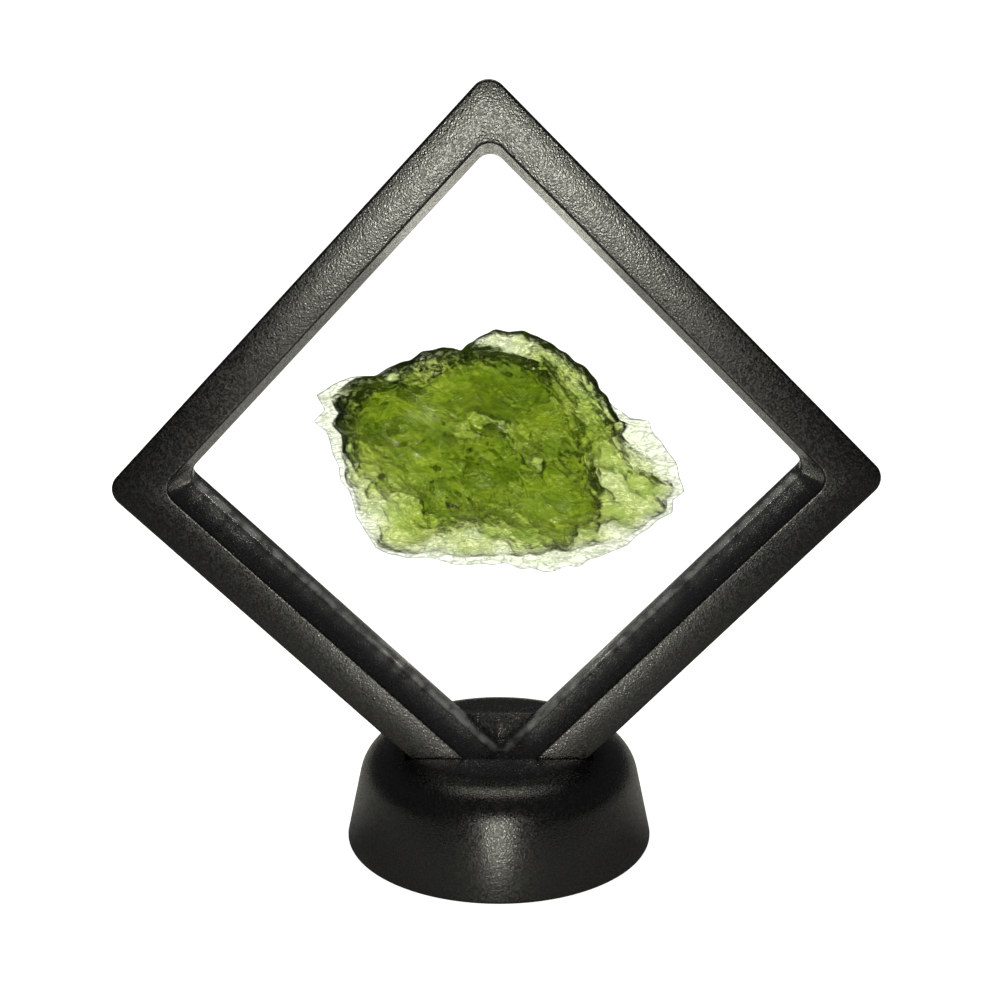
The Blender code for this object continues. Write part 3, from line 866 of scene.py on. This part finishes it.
@dataclass
class RoundStand:
    """The round stand: a turned plug with sloping sides and a rounded shoulder, slotted for the frame."""

    radius: float = 27.2 * MM
    height: float = 18.4 * MM
    slope: float = 11.7
    shoulder: float = 8.0 * MM
    foot_radius: float = 0.4 * MM
    shift: float = 0.5 * MM
    slot_width: float = 20.7 * MM
    slot_floor: float = 2.0 * MM
    slot_corner: float = 2.0 * MM
    slot_reach: float = 45.0 * MM
    edge_radius: float = 0.3 * MM
    turn_steps: int = 144
    piece: bpy.types.Object | None = None

    def profile(self) -> list[tuple[float, float]]:
        """Radius and height down the stand's outer side, from the middle of the top to the foot."""
        slope = math.radians(self.slope)
        arc_height = self.height - self.shoulder
        meeting_height = arc_height + self.shoulder * math.sin(slope)
        meeting_radius = self.radius - meeting_height * math.tan(slope)
        middle = (meeting_radius - self.shoulder * math.cos(slope), arc_height)
        foot = arc((self.radius - self.foot_radius, self.foot_radius), self.foot_radius, self.slope, -90, 4)
        return [(0.0, self.height), *arc(middle, self.shoulder, 90, self.slope, 16), *foot, (0.0, 0.0)]

    def slot_bar(self) -> bpy.types.Object:
        """Builds the square bar, laid on its corner, that cuts the slot.

        Returns:
            The bar as an object of its own.
        """
        middle = Matrix.Translation((self.shift, 0.0, self.slot_floor + self.slot_reach / math.sqrt(2)))
        place = middle @ Matrix.Rotation(math.pi / 4, 4, "Y")
        outline = rounded_square(self.slot_reach / 2, self.slot_corner, 8)
        shape = bmesh.new()
        ends = []
        for end in (-self.slot_width / 2, self.slot_width / 2):
            ends.append([shape.verts.new(place @ Vector((u, end, w))) for u, w in outline])
        count = len(outline)
        for step in range(count):
            ahead = (step + 1) % count
            shape.faces.new((ends[0][step], ends[0][ahead], ends[1][ahead], ends[1][step]))
        for end in ends:
            shape.faces.new(end)
        bmesh.ops.recalc_face_normals(shape, faces=shape.faces)
        return new_piece("slot_bar", mesh_from_shape("slot_bar", shape))

    def build(self) -> None:
        """Turns the profile, cuts the slot and rounds its edges."""
        shape = bmesh.new()
        profile = self.profile()
        last = len(profile) - 1
        loops = []
        for index, (radius, height) in enumerate(profile):
            count = 1 if index in (0, last) else self.turn_steps
            loop = []
            for step in range(count):
                angle = 2 * math.pi * step / self.turn_steps
                place = (self.shift + radius * math.cos(angle), radius * math.sin(angle), height)
                loop.append(shape.verts.new(place))
            loops.append(loop)
        for upper, lower in zip(loops, loops[1:]):
            for step in range(self.turn_steps):
                ahead = (step + 1) % self.turn_steps
                corners = [upper[step % len(upper)], upper[ahead % len(upper)]]
                corners += [lower[ahead % len(lower)], lower[step % len(lower)]]
                shape.faces.new(list(dict.fromkeys(corners)))
        bmesh.ops.recalc_face_normals(shape, faces=shape.faces)
        self.piece = new_piece("slotted_stand", mesh_from_shape("slotted_stand", shape))
        bar = self.slot_bar()
        slot = self.piece.modifiers.new("slot", "BOOLEAN")
        slot.operation = "DIFFERENCE"
        slot.solver = "EXACT"
        slot.object = bar
        rounding = self.piece.modifiers.new("rounding", "BEVEL")
        rounding.width = self.edge_radius
        rounding.segments = 3
        rounding.limit_method = "ANGLE"
        rounding.angle_limit = math.radians(35.0)
        settle(self.piece)
        bpy.data.objects.remove(bar, do_unlink=True)
        smooth_but_edges(self.piece.data, 34.0)

    def dress(self, grained: bpy.types.Material) -> None:
        """Gives the stand its plastic and stands it for its CAD node.

        Args:
            grained: The plastic all over the stand.
        """
        self.piece.data.materials.clear()
        self.piece.data.materials.append(grained)
        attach(self.piece, BODY)
        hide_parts("stand")


@dataclass
class Moldavite:
    """The stone: a lens drawn out to the traced outline, with thin rim, hollows, creases and etched skin."""

    frame_middle: float = 66.6 * MM
    middle: tuple[float, float] = (1.0 * MM, 3.0 * MM)
    half_thickness: float = 5.3 * MM
    rim_half_thickness: float = 0.65 * MM
    rim_wander: float = 2.4 * MM
    ragged: float = 0.6 * MM
    cells: int = 214
    flow_degrees: float = -50.0
    scoop_length: float = 3.2 * MM
    scoop_width: float = 1.5 * MM
    scoop_depth: float = 0.6 * MM
    crest_size: float = 2.2 * MM
    crest_depth: float = 1.5 * MM
    striae_width: float = 0.42 * MM
    striae_depth: float = 0.36 * MM
    bend_size: float = 4.5 * MM
    bend_reach: float = 0.8 * MM
    front_share: float = 0.8
    back_share: float = 1.0
    seed: int = 7
    piece: bpy.types.Object | None = None

    def grid(self) -> tuple[np.ndarray, np.ndarray]:
        """Spreads a square grid evenly over a disc.

        Returns:
            The angle and the share of the way out at each crossing.
        """
        lines = np.linspace(-1.0, 1.0, self.cells + 1)
        across, up = np.meshgrid(lines, lines, indexing="ij")
        wide = np.abs(across) > np.abs(up)
        signed = np.where(wide, across, up)
        safe = np.where(signed == 0.0, 1.0, signed)
        angle = np.where(wide, math.pi / 4 * up / safe, math.pi / 2 - math.pi / 4 * across / safe)
        angle = np.where(signed < 0.0, angle + math.pi, angle)
        angle = (angle + math.pi) % (2 * math.pi) - math.pi
        return angle, 1.0 - (1.0 - np.abs(signed)) ** 1.15

    def rim_distance(self, angle: np.ndarray) -> np.ndarray:
        """How far the stone reaches from its middle at these angles, along the traced outline."""
        corners = np.array(STONE_OUTLINE) * MM - np.array(self.middle)
        angles = np.arctan2(corners[:, 1], corners[:, 0])
        reaches = np.hypot(corners[:, 0], corners[:, 1])
        return np.interp(angle, angles[::-1], reaches[::-1], period=2 * math.pi)

    def relief(self, x: np.ndarray, z: np.ndarray, features: tuple[tuple[float, ...], ...]) -> np.ndarray:
        """Sums the hollows and lumps of one face.

        Args:
            x: Places to the right of the frame's middle.
            z: Places above the frame's middle.
            features: Rows of a table of hollows and lumps.

        Returns:
            The height at each place.
        """
        total = np.zeros_like(x)
        for middle_x, middle_z, half_length, half_width, turn, height in features:
            dx, dz, turned = x - middle_x * MM, z - middle_z * MM, math.radians(turn)
            along = (dx * math.cos(turned) + dz * math.sin(turned)) / (half_length * MM)
            aside = (dz * math.cos(turned) - dx * math.sin(turned)) / (half_width * MM)
            total += height * MM * np.exp(-(along**2 + aside**2))
        return total

    def share_left(self, x: np.ndarray, z: np.ndarray) -> np.ndarray:
        """Says what share of the thickness the pale patches leave.

        Args:
            x: Places to the right of the frame's middle.
            z: Places above the frame's middle.

        Returns:
            A share from 0 to 1 at each place.
        """
        left = np.ones_like(x)
        for middle_x, middle_z, half_length, half_width, turn, taken in PALE_PATCHES:
            dx, dz, turned = x - middle_x * MM, z - middle_z * MM, math.radians(turn)
            along = (dx * math.cos(turned) + dz * math.sin(turned)) / (half_length * MM)
            aside = (dz * math.cos(turned) - dx * math.sin(turned)) / (half_width * MM)
            left *= 1.0 - taken * np.exp(-((along**2 + aside**2) ** 1.25))
        return left

    def creases(self, x: np.ndarray, z: np.ndarray) -> np.ndarray:
        """Sums the creases of the front, each a sharp groove along a bent line.

        Args:
            x: Places to the right of the frame's middle.
            z: Places above the frame's middle.

        Returns:
            The height, which is never above nought, at each place.
        """
        total = np.zeros_like(x)
        for start_x, start_z, end_x, end_z, bend, half_width, depth in FRONT_CREASES:
            run_x, run_z = (end_x - start_x) * MM, (end_z - start_z) * MM
            length = math.hypot(run_x, run_z)
            dx, dz = x - start_x * MM, z - start_z * MM
            along = (dx * run_x + dz * run_z) / length**2
            aside = (dz * run_x - dx * run_z) / length - bend * MM * 4 * along * (1 - along)
            fade = np.clip(4 * along * (1 - along), 0.0, 1.0) ** 0.5
            total -= depth * MM * fade * np.exp(-np.abs(aside) / (half_width * MM))
        return total

    def skin(self, x: np.ndarray, z: np.ndarray, side: Side) -> np.ndarray:
        """Long scooped pits with sharp crests between them, which run down to the right.

        Args:
            x: Places to the right of the frame's middle.
            z: Places above the frame's middle.
            side: The face.

        Returns:
            The height at each place.
        """
        flow = math.radians(-38.0)
        along = (x * math.cos(flow) + z * math.sin(flow)) / (5.6 * MM)
        aside = (z * math.cos(flow) - x * math.sin(flow)) / (3.4 * MM)
        heights = np.empty(x.size)
        for index, (first, second) in enumerate(zip(along.ravel(), aside.ravel())):
            place = Vector((first, second, 11.0 * side.value))
            bend = 0.35 * noise.noise_vector(place * 0.9)
            scoops = noise.voronoi(place + bend)[0][0] ** 2 - 0.28
            ridges = noise.ridged_multi_fractal(place * 1.1, 0.9, 2.1, 3, 1.0, 2.0) - 1.2
            heights[index] = (1.9 * scoops + 0.45 * ridges) * MM
        return heights.reshape(x.shape)

    def formed_piece(self) -> bpy.types.Object:
        """Builds the stone's form as one closed skin of even quads.

        Returns:
            The piece, whose points know how thick the stone is there.
        """
        angle, reach = self.grid()
        around = np.stack((np.cos(angle), np.sin(angle)))
        ragged = np.empty(angle.shape)
        wander = np.empty(angle.shape)
        for index in np.ndindex(angle.shape):
            place = Vector((around[0][index], around[1][index], 0.0))
            ragged[index] = noise.noise(place * 9.0 + Vector((0.0, 0.0, 4.0)))
            wander[index] = noise.noise(place * 1.7 + Vector((0.0, 0.0, 8.0)))
        distance = reach * (self.rim_distance(angle) + self.ragged * ragged * reach)
        x = self.middle[0] + distance * around[0]
        z = self.middle[1] + distance * around[1]
        wander *= self.rim_wander * reach**2
        table = np.array(THIN_RIM)
        body_share = 1.0 - np.interp(np.degrees(angle), table[:, 0], table[:, 1], period=360.0)
        body = 1.0 - np.minimum(1.0, reach / body_share) ** 3.0
        bent_x, bent_z = x.copy(), z.copy()
        for index in np.ndindex(x.shape):
            place = Vector((x[index], z[index], 0.0)) / self.bend_size
            bend = noise.noise_vector(place) + 0.5 * noise.noise_vector(place * 2.3)
            bent_x[index] += self.bend_reach * bend.x
            bent_z[index] += self.bend_reach * bend.y
        left = self.share_left(bent_x, bent_z)
        rim = self.rim_half_thickness * np.sqrt(np.maximum(0.0, 1.0 - reach**2))
        count = self.cells + 1
        numbers = {Side.FRONT: np.arange(count * count).reshape(count, count)}
        inner = np.zeros((count, count), bool)
        inner[1:-1, 1:-1] = True
        back_numbers = numbers[Side.FRONT].copy()
        back_numbers[inner] = count * count + np.arange(int(inner.sum()))
        numbers[Side.BACK] = back_numbers
        places, thick, faces = [], [], []
        for side in Side:
            features = FRONT_RELIEF if side is Side.FRONT else BACK_RELIEF
            height = self.half_thickness - self.rim_half_thickness
            height = height + self.relief(bent_x, bent_z, features) + self.skin(x, z, side)
            if side is Side.FRONT:
                height = height + self.relief(bent_x, bent_z, FRONT_DETAIL) + self.creases(x, z)
            given = self.front_share if side is Side.FRONT else self.back_share
            half = rim + np.maximum(0.0, height * body * (1.0 - given * (1.0 - left)))
            points = np.stack((x, side.value * half + wander, z + self.frame_middle), axis=-1)
            chosen = np.ones((count, count), bool) if side is Side.FRONT else inner
            places.append(points[chosen])
            thick.append(np.clip(half[chosen] / (1.8 * MM), 0.0, 1.0))
            own = numbers[side]
            quads = np.stack((own[:-1, :-1], own[1:, :-1], own[1:, 1:], own[:-1, 1:]), axis=-1).reshape(-1, 4)
            faces.append(quads if side is Side.FRONT else quads[:, ::-1])
        mesh = bpy.data.meshes.new("moldavite_form")
        mesh.from_pydata(np.concatenate(places).tolist(), [], np.concatenate(faces).tolist())
        thickness = mesh.attributes.new("thick", "FLOAT", "POINT")
        thickness.data.foreach_set("value", np.concatenate(thick).astype(np.float32))
        shape = bmesh.new()
        shape.from_mesh(mesh)
        bmesh.ops.recalc_face_normals(shape, faces=shape.faces)
        shape.to_mesh(mesh)
        shape.free()
        return new_piece("etched_moldavite", mesh)

    def etching_tree(self) -> tuple[bpy.types.NodeTree, dict[str, str]]:
        """Builds the tree that scoops, crests and scores the skin along the stone's flow.

        Returns:
            The tree and its inputs' identifiers by name.
        """
        tree = bpy.data.node_groups.new("etched_skin", "GeometryNodeTree")
        inputs = add_sockets(
            tree,
            "INPUT",
            {
                "Geometry": (GEOMETRY, None),
                "Flow": (FLOAT, 0.6),
                "Scoop Length": (FLOAT, 0.004),
                "Scoop Width": (FLOAT, 0.002),
                "Scoop Depth": (FLOAT, 0.0005),
                "Crest Size": (FLOAT, 0.0025),
                "Crest Depth": (FLOAT, 0.0005),
                "Striae Width": (FLOAT, 0.0005),
                "Striae Depth": (FLOAT, 0.0001),
                "Seed": (INTEGER, 1),
                "Skin": (MATERIAL, None),
            },
        )
        add_sockets(tree, "OUTPUT", {"Geometry": (GEOMETRY, None)})
        given = add_node(tree, "NodeGroupInput")
        result = add_node(tree, "NodeGroupOutput")
        place = add_node(tree, "GeometryNodeInputPosition")
        turned = add_node(tree, "ShaderNodeVectorRotate", rotation_type="Y_AXIS")
        shift = add_node(tree, "ShaderNodeVectorMath", operation="ADD")
        seeded = add_node(tree, "ShaderNodeCombineXYZ")
        wire(
            tree,
            (place.outputs["Position"], turned.inputs["Vector"]),
            (given.outputs["Flow"], turned.inputs["Angle"]),
            (given.outputs["Seed"], seeded.inputs["Y"]),
        )

        def stretched(length: str, width: str) -> bpy.types.NodeSocket:
            """Scales the flow's own axes by a length and a width, and moves the pattern by the seed."""
            sizes = add_node(tree, "ShaderNodeCombineXYZ")
            divide = add_node(tree, "ShaderNodeVectorMath", operation="DIVIDE")
            moved = add_node(tree, "ShaderNodeVectorMath", operation="ADD")
            wire(
                tree,
                (given.outputs[length], sizes.inputs["X"]),
                (given.outputs[width], sizes.inputs["Y"]),
                (given.outputs[width], sizes.inputs["Z"]),
                (turned.outputs["Vector"], divide.inputs[0]),
                (sizes.outputs["Vector"], divide.inputs[1]),
                (divide.outputs["Vector"], moved.inputs[0]),
                (seeded.outputs["Vector"], moved.inputs[1]),
            )
            return moved.outputs["Vector"]

        def times(value: bpy.types.NodeSocket, factor: bpy.types.NodeSocket) -> bpy.types.NodeSocket:
            """Multiplies two values."""
            product = add_node(tree, "ShaderNodeMath", operation="MULTIPLY")
            wire(tree, (value, product.inputs[0]), (factor, product.inputs[1]))
            return product.outputs["Value"]

        warp = add_node(tree, "ShaderNodeTexNoise", {"Scale": 0.9, "Detail": 1.0})
        warp_shift = add_node(tree, "ShaderNodeVectorMath", {1: (0.5, 0.5, 0.5)}, operation="SUBTRACT")
        scoops = add_node(tree, "ShaderNodeTexVoronoi", {"Scale": 1.0}, feature="F1")
        squared = add_node(tree, "ShaderNodeMath", {1: 2.0}, operation="POWER")
        centred = add_node(tree, "ShaderNodeMath", {1: 0.3}, operation="SUBTRACT")
        scoop_place = stretched("Scoop Length", "Scoop Width")
        wire(
            tree,
            (scoop_place, warp.inputs["Vector"]),
            (warp.outputs["Color"], warp_shift.inputs[0]),
            (scoop_place, shift.inputs[0]),
            (warp_shift.outputs["Vector"], shift.inputs[1]),
            (shift.outputs["Vector"], scoops.inputs["Vector"]),
            (scoops.outputs["Distance"], squared.inputs[0]),
            (squared.outputs["Value"], centred.inputs[0]),
        )
        crests = add_node(
            tree, "ShaderNodeTexNoise", {"Scale": 1.0, "Detail": 4.0, "Roughness": 0.55, "Lacunarity": 2.1}
        )
        folded = add_node(tree, "ShaderNodeMath", {1: 0.5}, operation="SUBTRACT")
        sharp = add_node(tree, "ShaderNodeMath", operation="ABSOLUTE")
        lowered = add_node(tree, "ShaderNodeMath", {0: 0.12}, operation="SUBTRACT")
        wire(
            tree,
            (stretched("Crest Size", "Crest Size"), crests.inputs["Vector"]),
            (crests.outputs["Fac"], folded.inputs[0]),
            (folded.outputs["Value"], sharp.inputs[0]),
            (sharp.outputs["Value"], lowered.inputs[1]),
        )
        striae = add_node(tree, "ShaderNodeTexNoise", {"Scale": 1.0, "Detail": 2.0})
        striae_centred = add_node(tree, "ShaderNodeMath", {1: 0.5}, operation="SUBTRACT")
        wire(
            tree,
            (stretched("Scoop Length", "Striae Width"), striae.inputs["Vector"]),
            (striae.outputs["Fac"], striae_centred.inputs[0]),
        )
        first = add_node(tree, "ShaderNodeMath", operation="ADD")
        total = add_node(tree, "ShaderNodeMath", operation="ADD")
        normal = add_node(tree, "GeometryNodeInputNormal")
        push = add_node(tree, "ShaderNodeVectorMath", operation="SCALE")
        thick = add_node(tree, "GeometryNodeInputNamedAttribute", {"Name": "thick"}, data_type="FLOAT")
        share = add_node(tree, "ShaderNodeMapRange", {"To Min": 0.0, "To Max": 1.0})
        scaled = add_node(tree, "ShaderNodeMath", operation="MULTIPLY")
        move = add_node(tree, "GeometryNodeSetPosition")
        real = add_node(tree, "GeometryNodeRealizeInstances")
        skin = add_node(tree, "GeometryNodeSetMaterial")
        wire(
            tree,
            (times(centred.outputs["Value"], given.outputs["Scoop Depth"]), first.inputs[0]),
            (times(lowered.outputs["Value"], given.outputs["Crest Depth"]), first.inputs[1]),
            (first.outputs["Value"], total.inputs[0]),
            (times(striae_centred.outputs["Value"], given.outputs["Striae Depth"]), total.inputs[1]),
            (normal.outputs["Normal"], push.inputs[0]),
            (thick.outputs["Attribute"], share.inputs["Value"]),
            (share.outputs["Result"], scaled.inputs[0]),
            (total.outputs["Value"], scaled.inputs[1]),
            (scaled.outputs["Value"], push.inputs["Scale"]),
            (given.outputs["Geometry"], move.inputs["Geometry"]),
            (push.outputs["Vector"], move.inputs["Offset"]),
            (move.outputs["Geometry"], real.inputs["Geometry"]),
            (real.outputs["Geometry"], skin.inputs["Geometry"]),
            (given.outputs["Skin"], skin.inputs["Material"]),
            (skin.outputs["Geometry"], result.inputs["Geometry"]),
        )
        return tree, inputs

    def build(self, glass: bpy.types.Material) -> None:
        """Refines the stone and etches its skin.

        Args:
            glass: The stone's material, set by the tree.
        """
        self.piece = self.formed_piece()
        tree, inputs = self.etching_tree()
        etching = self.piece.modifiers.new("etching", "NODES")
        etching.node_group = tree
        values = {
            "Flow": math.radians(self.flow_degrees),
            "Scoop Length": self.scoop_length,
            "Scoop Width": self.scoop_width,
            "Scoop Depth": self.scoop_depth,
            "Crest Size": self.crest_size,
            "Crest Depth": self.crest_depth,
            "Striae Width": self.striae_width,
            "Striae Depth": self.striae_depth,
            "Seed": self.seed,
            "Skin": glass,
        }
        for name, value in values.items():
            etching[inputs[name]] = value
        settle(self.piece)
        self.piece.data.shade_smooth()

    def dress(self) -> None:
        """Stands the stone for its CAD node."""
        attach(self.piece, BODY)
        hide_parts("moldavite")


@dataclass
class FilmPair:
    """The two clear films, each stretched from its seat in the frame over one face of the stone."""

    holder: SquareFrame
    thickness: float = 0.12 * MM
    side: float = 78.0 * MM
    free_side: float = 73.2 * MM
    cells: int = 90
    border_height: float = 0.3 * MM
    over_stone: float = 0.22 * MM
    sweeps: int = 2600
    # The painted glint line along each film's border: its width, its cover, and the height below which it is drawn
    glint_line_width: float = 0.3 * MM
    glint_line_cover: float = 0.2
    glint_line_top: float = 66.0 * MM
    pieces: dict[Side, bpy.types.Object] = field(default_factory=dict)

    def lines(self) -> np.ndarray:
        """Where the film's grid lines run: a clamped strip at each border and even cells between."""
        free = np.linspace(-self.free_side / 2, self.free_side / 2, self.cells + 1)
        return np.concatenate(([-self.side / 2], free, [self.side / 2]))

    def heights(self, lines: np.ndarray, points: np.ndarray, side: Side) -> np.ndarray:
        """Relaxes the film over the stone.

        Args:
            lines: The grid lines.
            points: The stone's points in the frame's own axes.
            side: The side that the film lies on.

        Returns:
            How far the film stands off its clamped border at each crossing.
        """
        cell = self.free_side / self.cells
        count = len(lines)
        under = np.zeros((count, count))
        outward = side.value * points[:, 1]
        rows = np.rint((points[:, 0] + self.free_side / 2) / cell).astype(int) + 1
        columns = np.rint((points[:, 2] + self.free_side / 2) / cell).astype(int) + 1
        for row_step in (-1, 0, 1):
            for column_step in (-1, 0, 1):
                np.maximum.at(under, (rows + row_step, columns + column_step), outward)
        under = np.where(under > 0, under + self.over_stone - self.border_height, 0.0)
        film = under.copy()
        for _ in range(self.sweeps):
            around = film[1:-3, 2:-2] + film[3:-1, 2:-2] + film[2:-2, 1:-3] + film[2:-2, 3:-1]
            film[2:-2, 2:-2] = np.maximum(under[2:-2, 2:-2], around / 4)
        return film

    def build(self, stone: bpy.types.Object) -> None:
        """Builds both films.

        Args:
            stone: The finished stone, which the films lie over.
        """
        place = self.holder.placement()
        back = np.array(place.inverted())
        flat = np.empty(len(stone.data.vertices) * 3, np.float32)
        stone.data.vertices.foreach_get("co", flat)
        points = flat.reshape(-1, 3).astype(float) @ back[:3, :3].T + back[:3, 3]
        lines = self.lines()
        last = len(lines) - 1
        for side in Side:
            heights = self.heights(lines, points, side)
            shape = bmesh.new()
            bmesh.ops.create_grid(shape, x_segments=last, y_segments=last, size=1.0)
            glint_line = shape.verts.layers.float.new("glint_line")
            for vertex in shape.verts:
                row = round((vertex.co.x + 1.0) / 2 * last)
                column = round((vertex.co.y + 1.0) / 2 * last)
                height = side.value * (self.border_height + heights[row, column])
                reach = max(abs(lines[row]), abs(lines[column]))
                inside = (self.free_side / 2 - reach) / self.glint_line_width
                vertex.co = place @ Vector((lines[row], height, lines[column]))
                # Painted glint: below the frame's middle, the border strip gets a whiter, denser cover that stands for
                # light caught on the film's edge
                if vertex.co.z < self.glint_line_top:
                    vertex[glint_line] = self.glint_line_cover * max(0.0, 1.0 - max(0.0, inside))
            bmesh.ops.recalc_face_normals(shape, faces=shape.faces)
            film = new_piece(f"{side.node}_clear_film", mesh_from_shape(f"{side.node}_clear_film", shape))
            wall = film.modifiers.new("wall", "SOLIDIFY")
            wall.thickness = self.thickness
            wall.offset = 0.0
            settle(film)
            film.data.shade_smooth()
            self.pieces[side] = film

    def dress(self, clear: bpy.types.Material) -> None:
        """Gives the films their material and stands them for their CAD nodes.

        Args:
            clear: The film's material.
        """
        for side, film in self.pieces.items():
            film.data.materials.clear()
            film.data.materials.append(clear)
            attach(film, BODY)
            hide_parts(f"{side.node}_film")


@dataclass
class Studio:
    """Pale floor, a soft surround that is bright behind the display and dim before it, lamps and camera."""

    floor_radius: float = 0.85
    surround_behind: float = 1.2
    surround_before: float = 0.75
    surround_above: float = 0.95
    reflected_share: float = 0.05
    lamp_colour: Point = (1.0, 0.99, 0.85)
    camera_place: Point = (0.00156, -0.24464, 0.12349)
    camera_pitch: float = 17.08
    camera_yaw: float = 0.206
    lens: float = 53.58
    sensor: float = 36.0
    shift_up: float = 0.0746

    def floor(self, paper: bpy.types.Material) -> None:
        """Builds the floor as one round sheet.

        Args:
            paper: Its material.
        """
        shape = bmesh.new()
        bmesh.ops.create_circle(shape, cap_ends=True, cap_tris=False, segments=96, radius=self.floor_radius)
        floor = new_piece("studio_floor", mesh_from_shape("studio_floor", shape))
        floor.data.materials.append(paper)

    def surround(self) -> None:
        """Sets the surround, whose brightness follows the direction."""
        world = bpy.data.worlds.new("studio")
        world.use_nodes = True
        tree = world.node_tree
        glow = tree.nodes["Background"]
        glow.inputs["Color"].default_value = (1.0, 1.0, 1.0, 1.0)
        direction = add_node(tree, "ShaderNodeTexCoord")
        parts = add_node(tree, "ShaderNodeSeparateXYZ")
        behind = add_node(
            tree,
            "ShaderNodeMapRange",
            {"From Min": -0.1, "From Max": 0.6, "To Min": self.surround_before, "To Max": self.surround_behind},
            interpolation_type="SMOOTHSTEP",
        )
        above = add_node(tree, "ShaderNodeMapRange", {"From Min": 0.12, "From Max": 0.42}, interpolation_type="SMOOTHSTEP")
        level = add_node(tree, "ShaderNodeMix", data_type="FLOAT")
        level.inputs["B"].default_value = self.surround_above
        share = add_node(tree, "ShaderNodeMapRange", {"To Min": self.reflected_share})
        dimmed = add_node(tree, "ShaderNodeMath", operation="MULTIPLY")
        wire(
            tree,
            (direction.outputs["Generated"], parts.inputs["Vector"]),
            (parts.outputs["Y"], behind.inputs["Value"]),
            (parts.outputs["Z"], above.inputs["Value"]),
            (above.outputs["Result"], level.inputs["Factor"]),
            (behind.outputs["Result"], level.inputs["A"]),
            (seen_straight(tree), share.inputs["Value"]),
            (level.outputs[0], dimmed.inputs[0]),
            (share.outputs["Result"], dimmed.inputs[1]),
            (dimmed.outputs["Value"], glow.inputs["Strength"]),
        )
        bpy.context.scene.world = world

    def lamp(self, name: str, place: Point, aim: Point, size: tuple[float, float], power: float, spread: float) -> None:
        """Adds one soft rectangular lamp, seen neither by the camera nor through the stone.

        Args:
            name: The lamp's name.
            place: Where it hangs.
            aim: The point it is turned to.
            size: Its width and height.
            power: Its power in watts.
            spread: The angle that its light fans out to, in degrees.
        """
        light = bpy.data.lights.new(name, "AREA")
        light.shape = "RECTANGLE"
        light.size, light.size_y = size
        light.energy = power
        light.spread = math.radians(spread)
        light.color = self.lamp_colour
        lamp = bpy.data.objects.new(name, light)
        lamp.location = place
        lamp.rotation_euler = (Vector(aim) - Vector(place)).to_track_quat("-Z", "Y").to_euler()
        lamp.visible_camera = False
        lamp.visible_transmission = False
        bpy.context.scene.collection.objects.link(lamp)

    def camera(self) -> None:
        """Places the camera at the photograph's viewing angle."""
        data = bpy.data.cameras.new("camera")
        data.lens = self.lens
        data.sensor_width = self.sensor
        data.shift_y = self.shift_up
        data.clip_start = 0.005
        data.clip_end = 20.0
        camera = bpy.data.objects.new("camera", data)
        camera.location = self.camera_place
        camera.rotation_euler = (math.radians(90.0 - self.camera_pitch), 0.0, math.radians(self.camera_yaw))
        bpy.context.scene.collection.objects.link(camera)
        bpy.context.scene.camera = camera

    def build(self) -> None:
        """Sets up floor, light and camera."""
        self.floor(StudioPaper().material())
        self.surround()
        self.lamp("viewer_lamp", (0.0, -0.31, 0.106), (0.0, 0.0, 0.105), (0.06, 0.078), 0.032, 60.0)
        self.lamp("stand_lamp", (0.0, -0.15, 0.009), (0.0, 0.0, 0.009), (0.014, 0.014), 0.023, 180.0)
        self.lamp("floor_lamp", (0.0, 0.36, 0.7), (0.0, 0.36, 0.0), (0.5, 0.8), 0.75, 75.0)
        self.lamp("wall_lamp", (0.0, 0.54, 0.004), (0.0, 0.54, 1.0), (0.38, 0.15), 0.36, 180.0)
        self.camera()
        bpy.context.scene.view_settings.view_transform = "Standard"


def report(piece: bpy.types.Object) -> None:
    """Logs a piece's name, size in millimetres and number of faces."""
    LOG.info("%s: %s mm, %d faces", piece.name, [round(d / MM, 1) for d in piece.dimensions], len(piece.data.polygons))


def main() -> None:
    """Builds and dresses the display, then notes its size."""
    logging.basicConfig(level=logging.INFO, format="%(message)s")
    Studio().build()
    grain = grain_group()
    grained = MouldedPlastic("grained_plastic", grain).material()
    polished = MouldedPlastic(
        "polished_plastic", grain, roughness=(0.2, 0.3), bump=0.12, glitter=0.1, specular=0.6
    ).material()
    square = SquareFrame()
    square.build()
    square.dress(grained, polished)
    stand = RoundStand()
    stand.build()
    stand.dress(grained)
    stone = Moldavite()
    stone.build(NaturalGlass().material())
    films = FilmPair(holder=square)
    films.build(stone.piece)
    stone.dress()
    films.dress(StretchedFilm().material())
    for piece in (*square.halves.values(), stand.piece, stone.piece, *films.pieces.values()):
        report(piece)


if __name__ == "__main__":
    main()
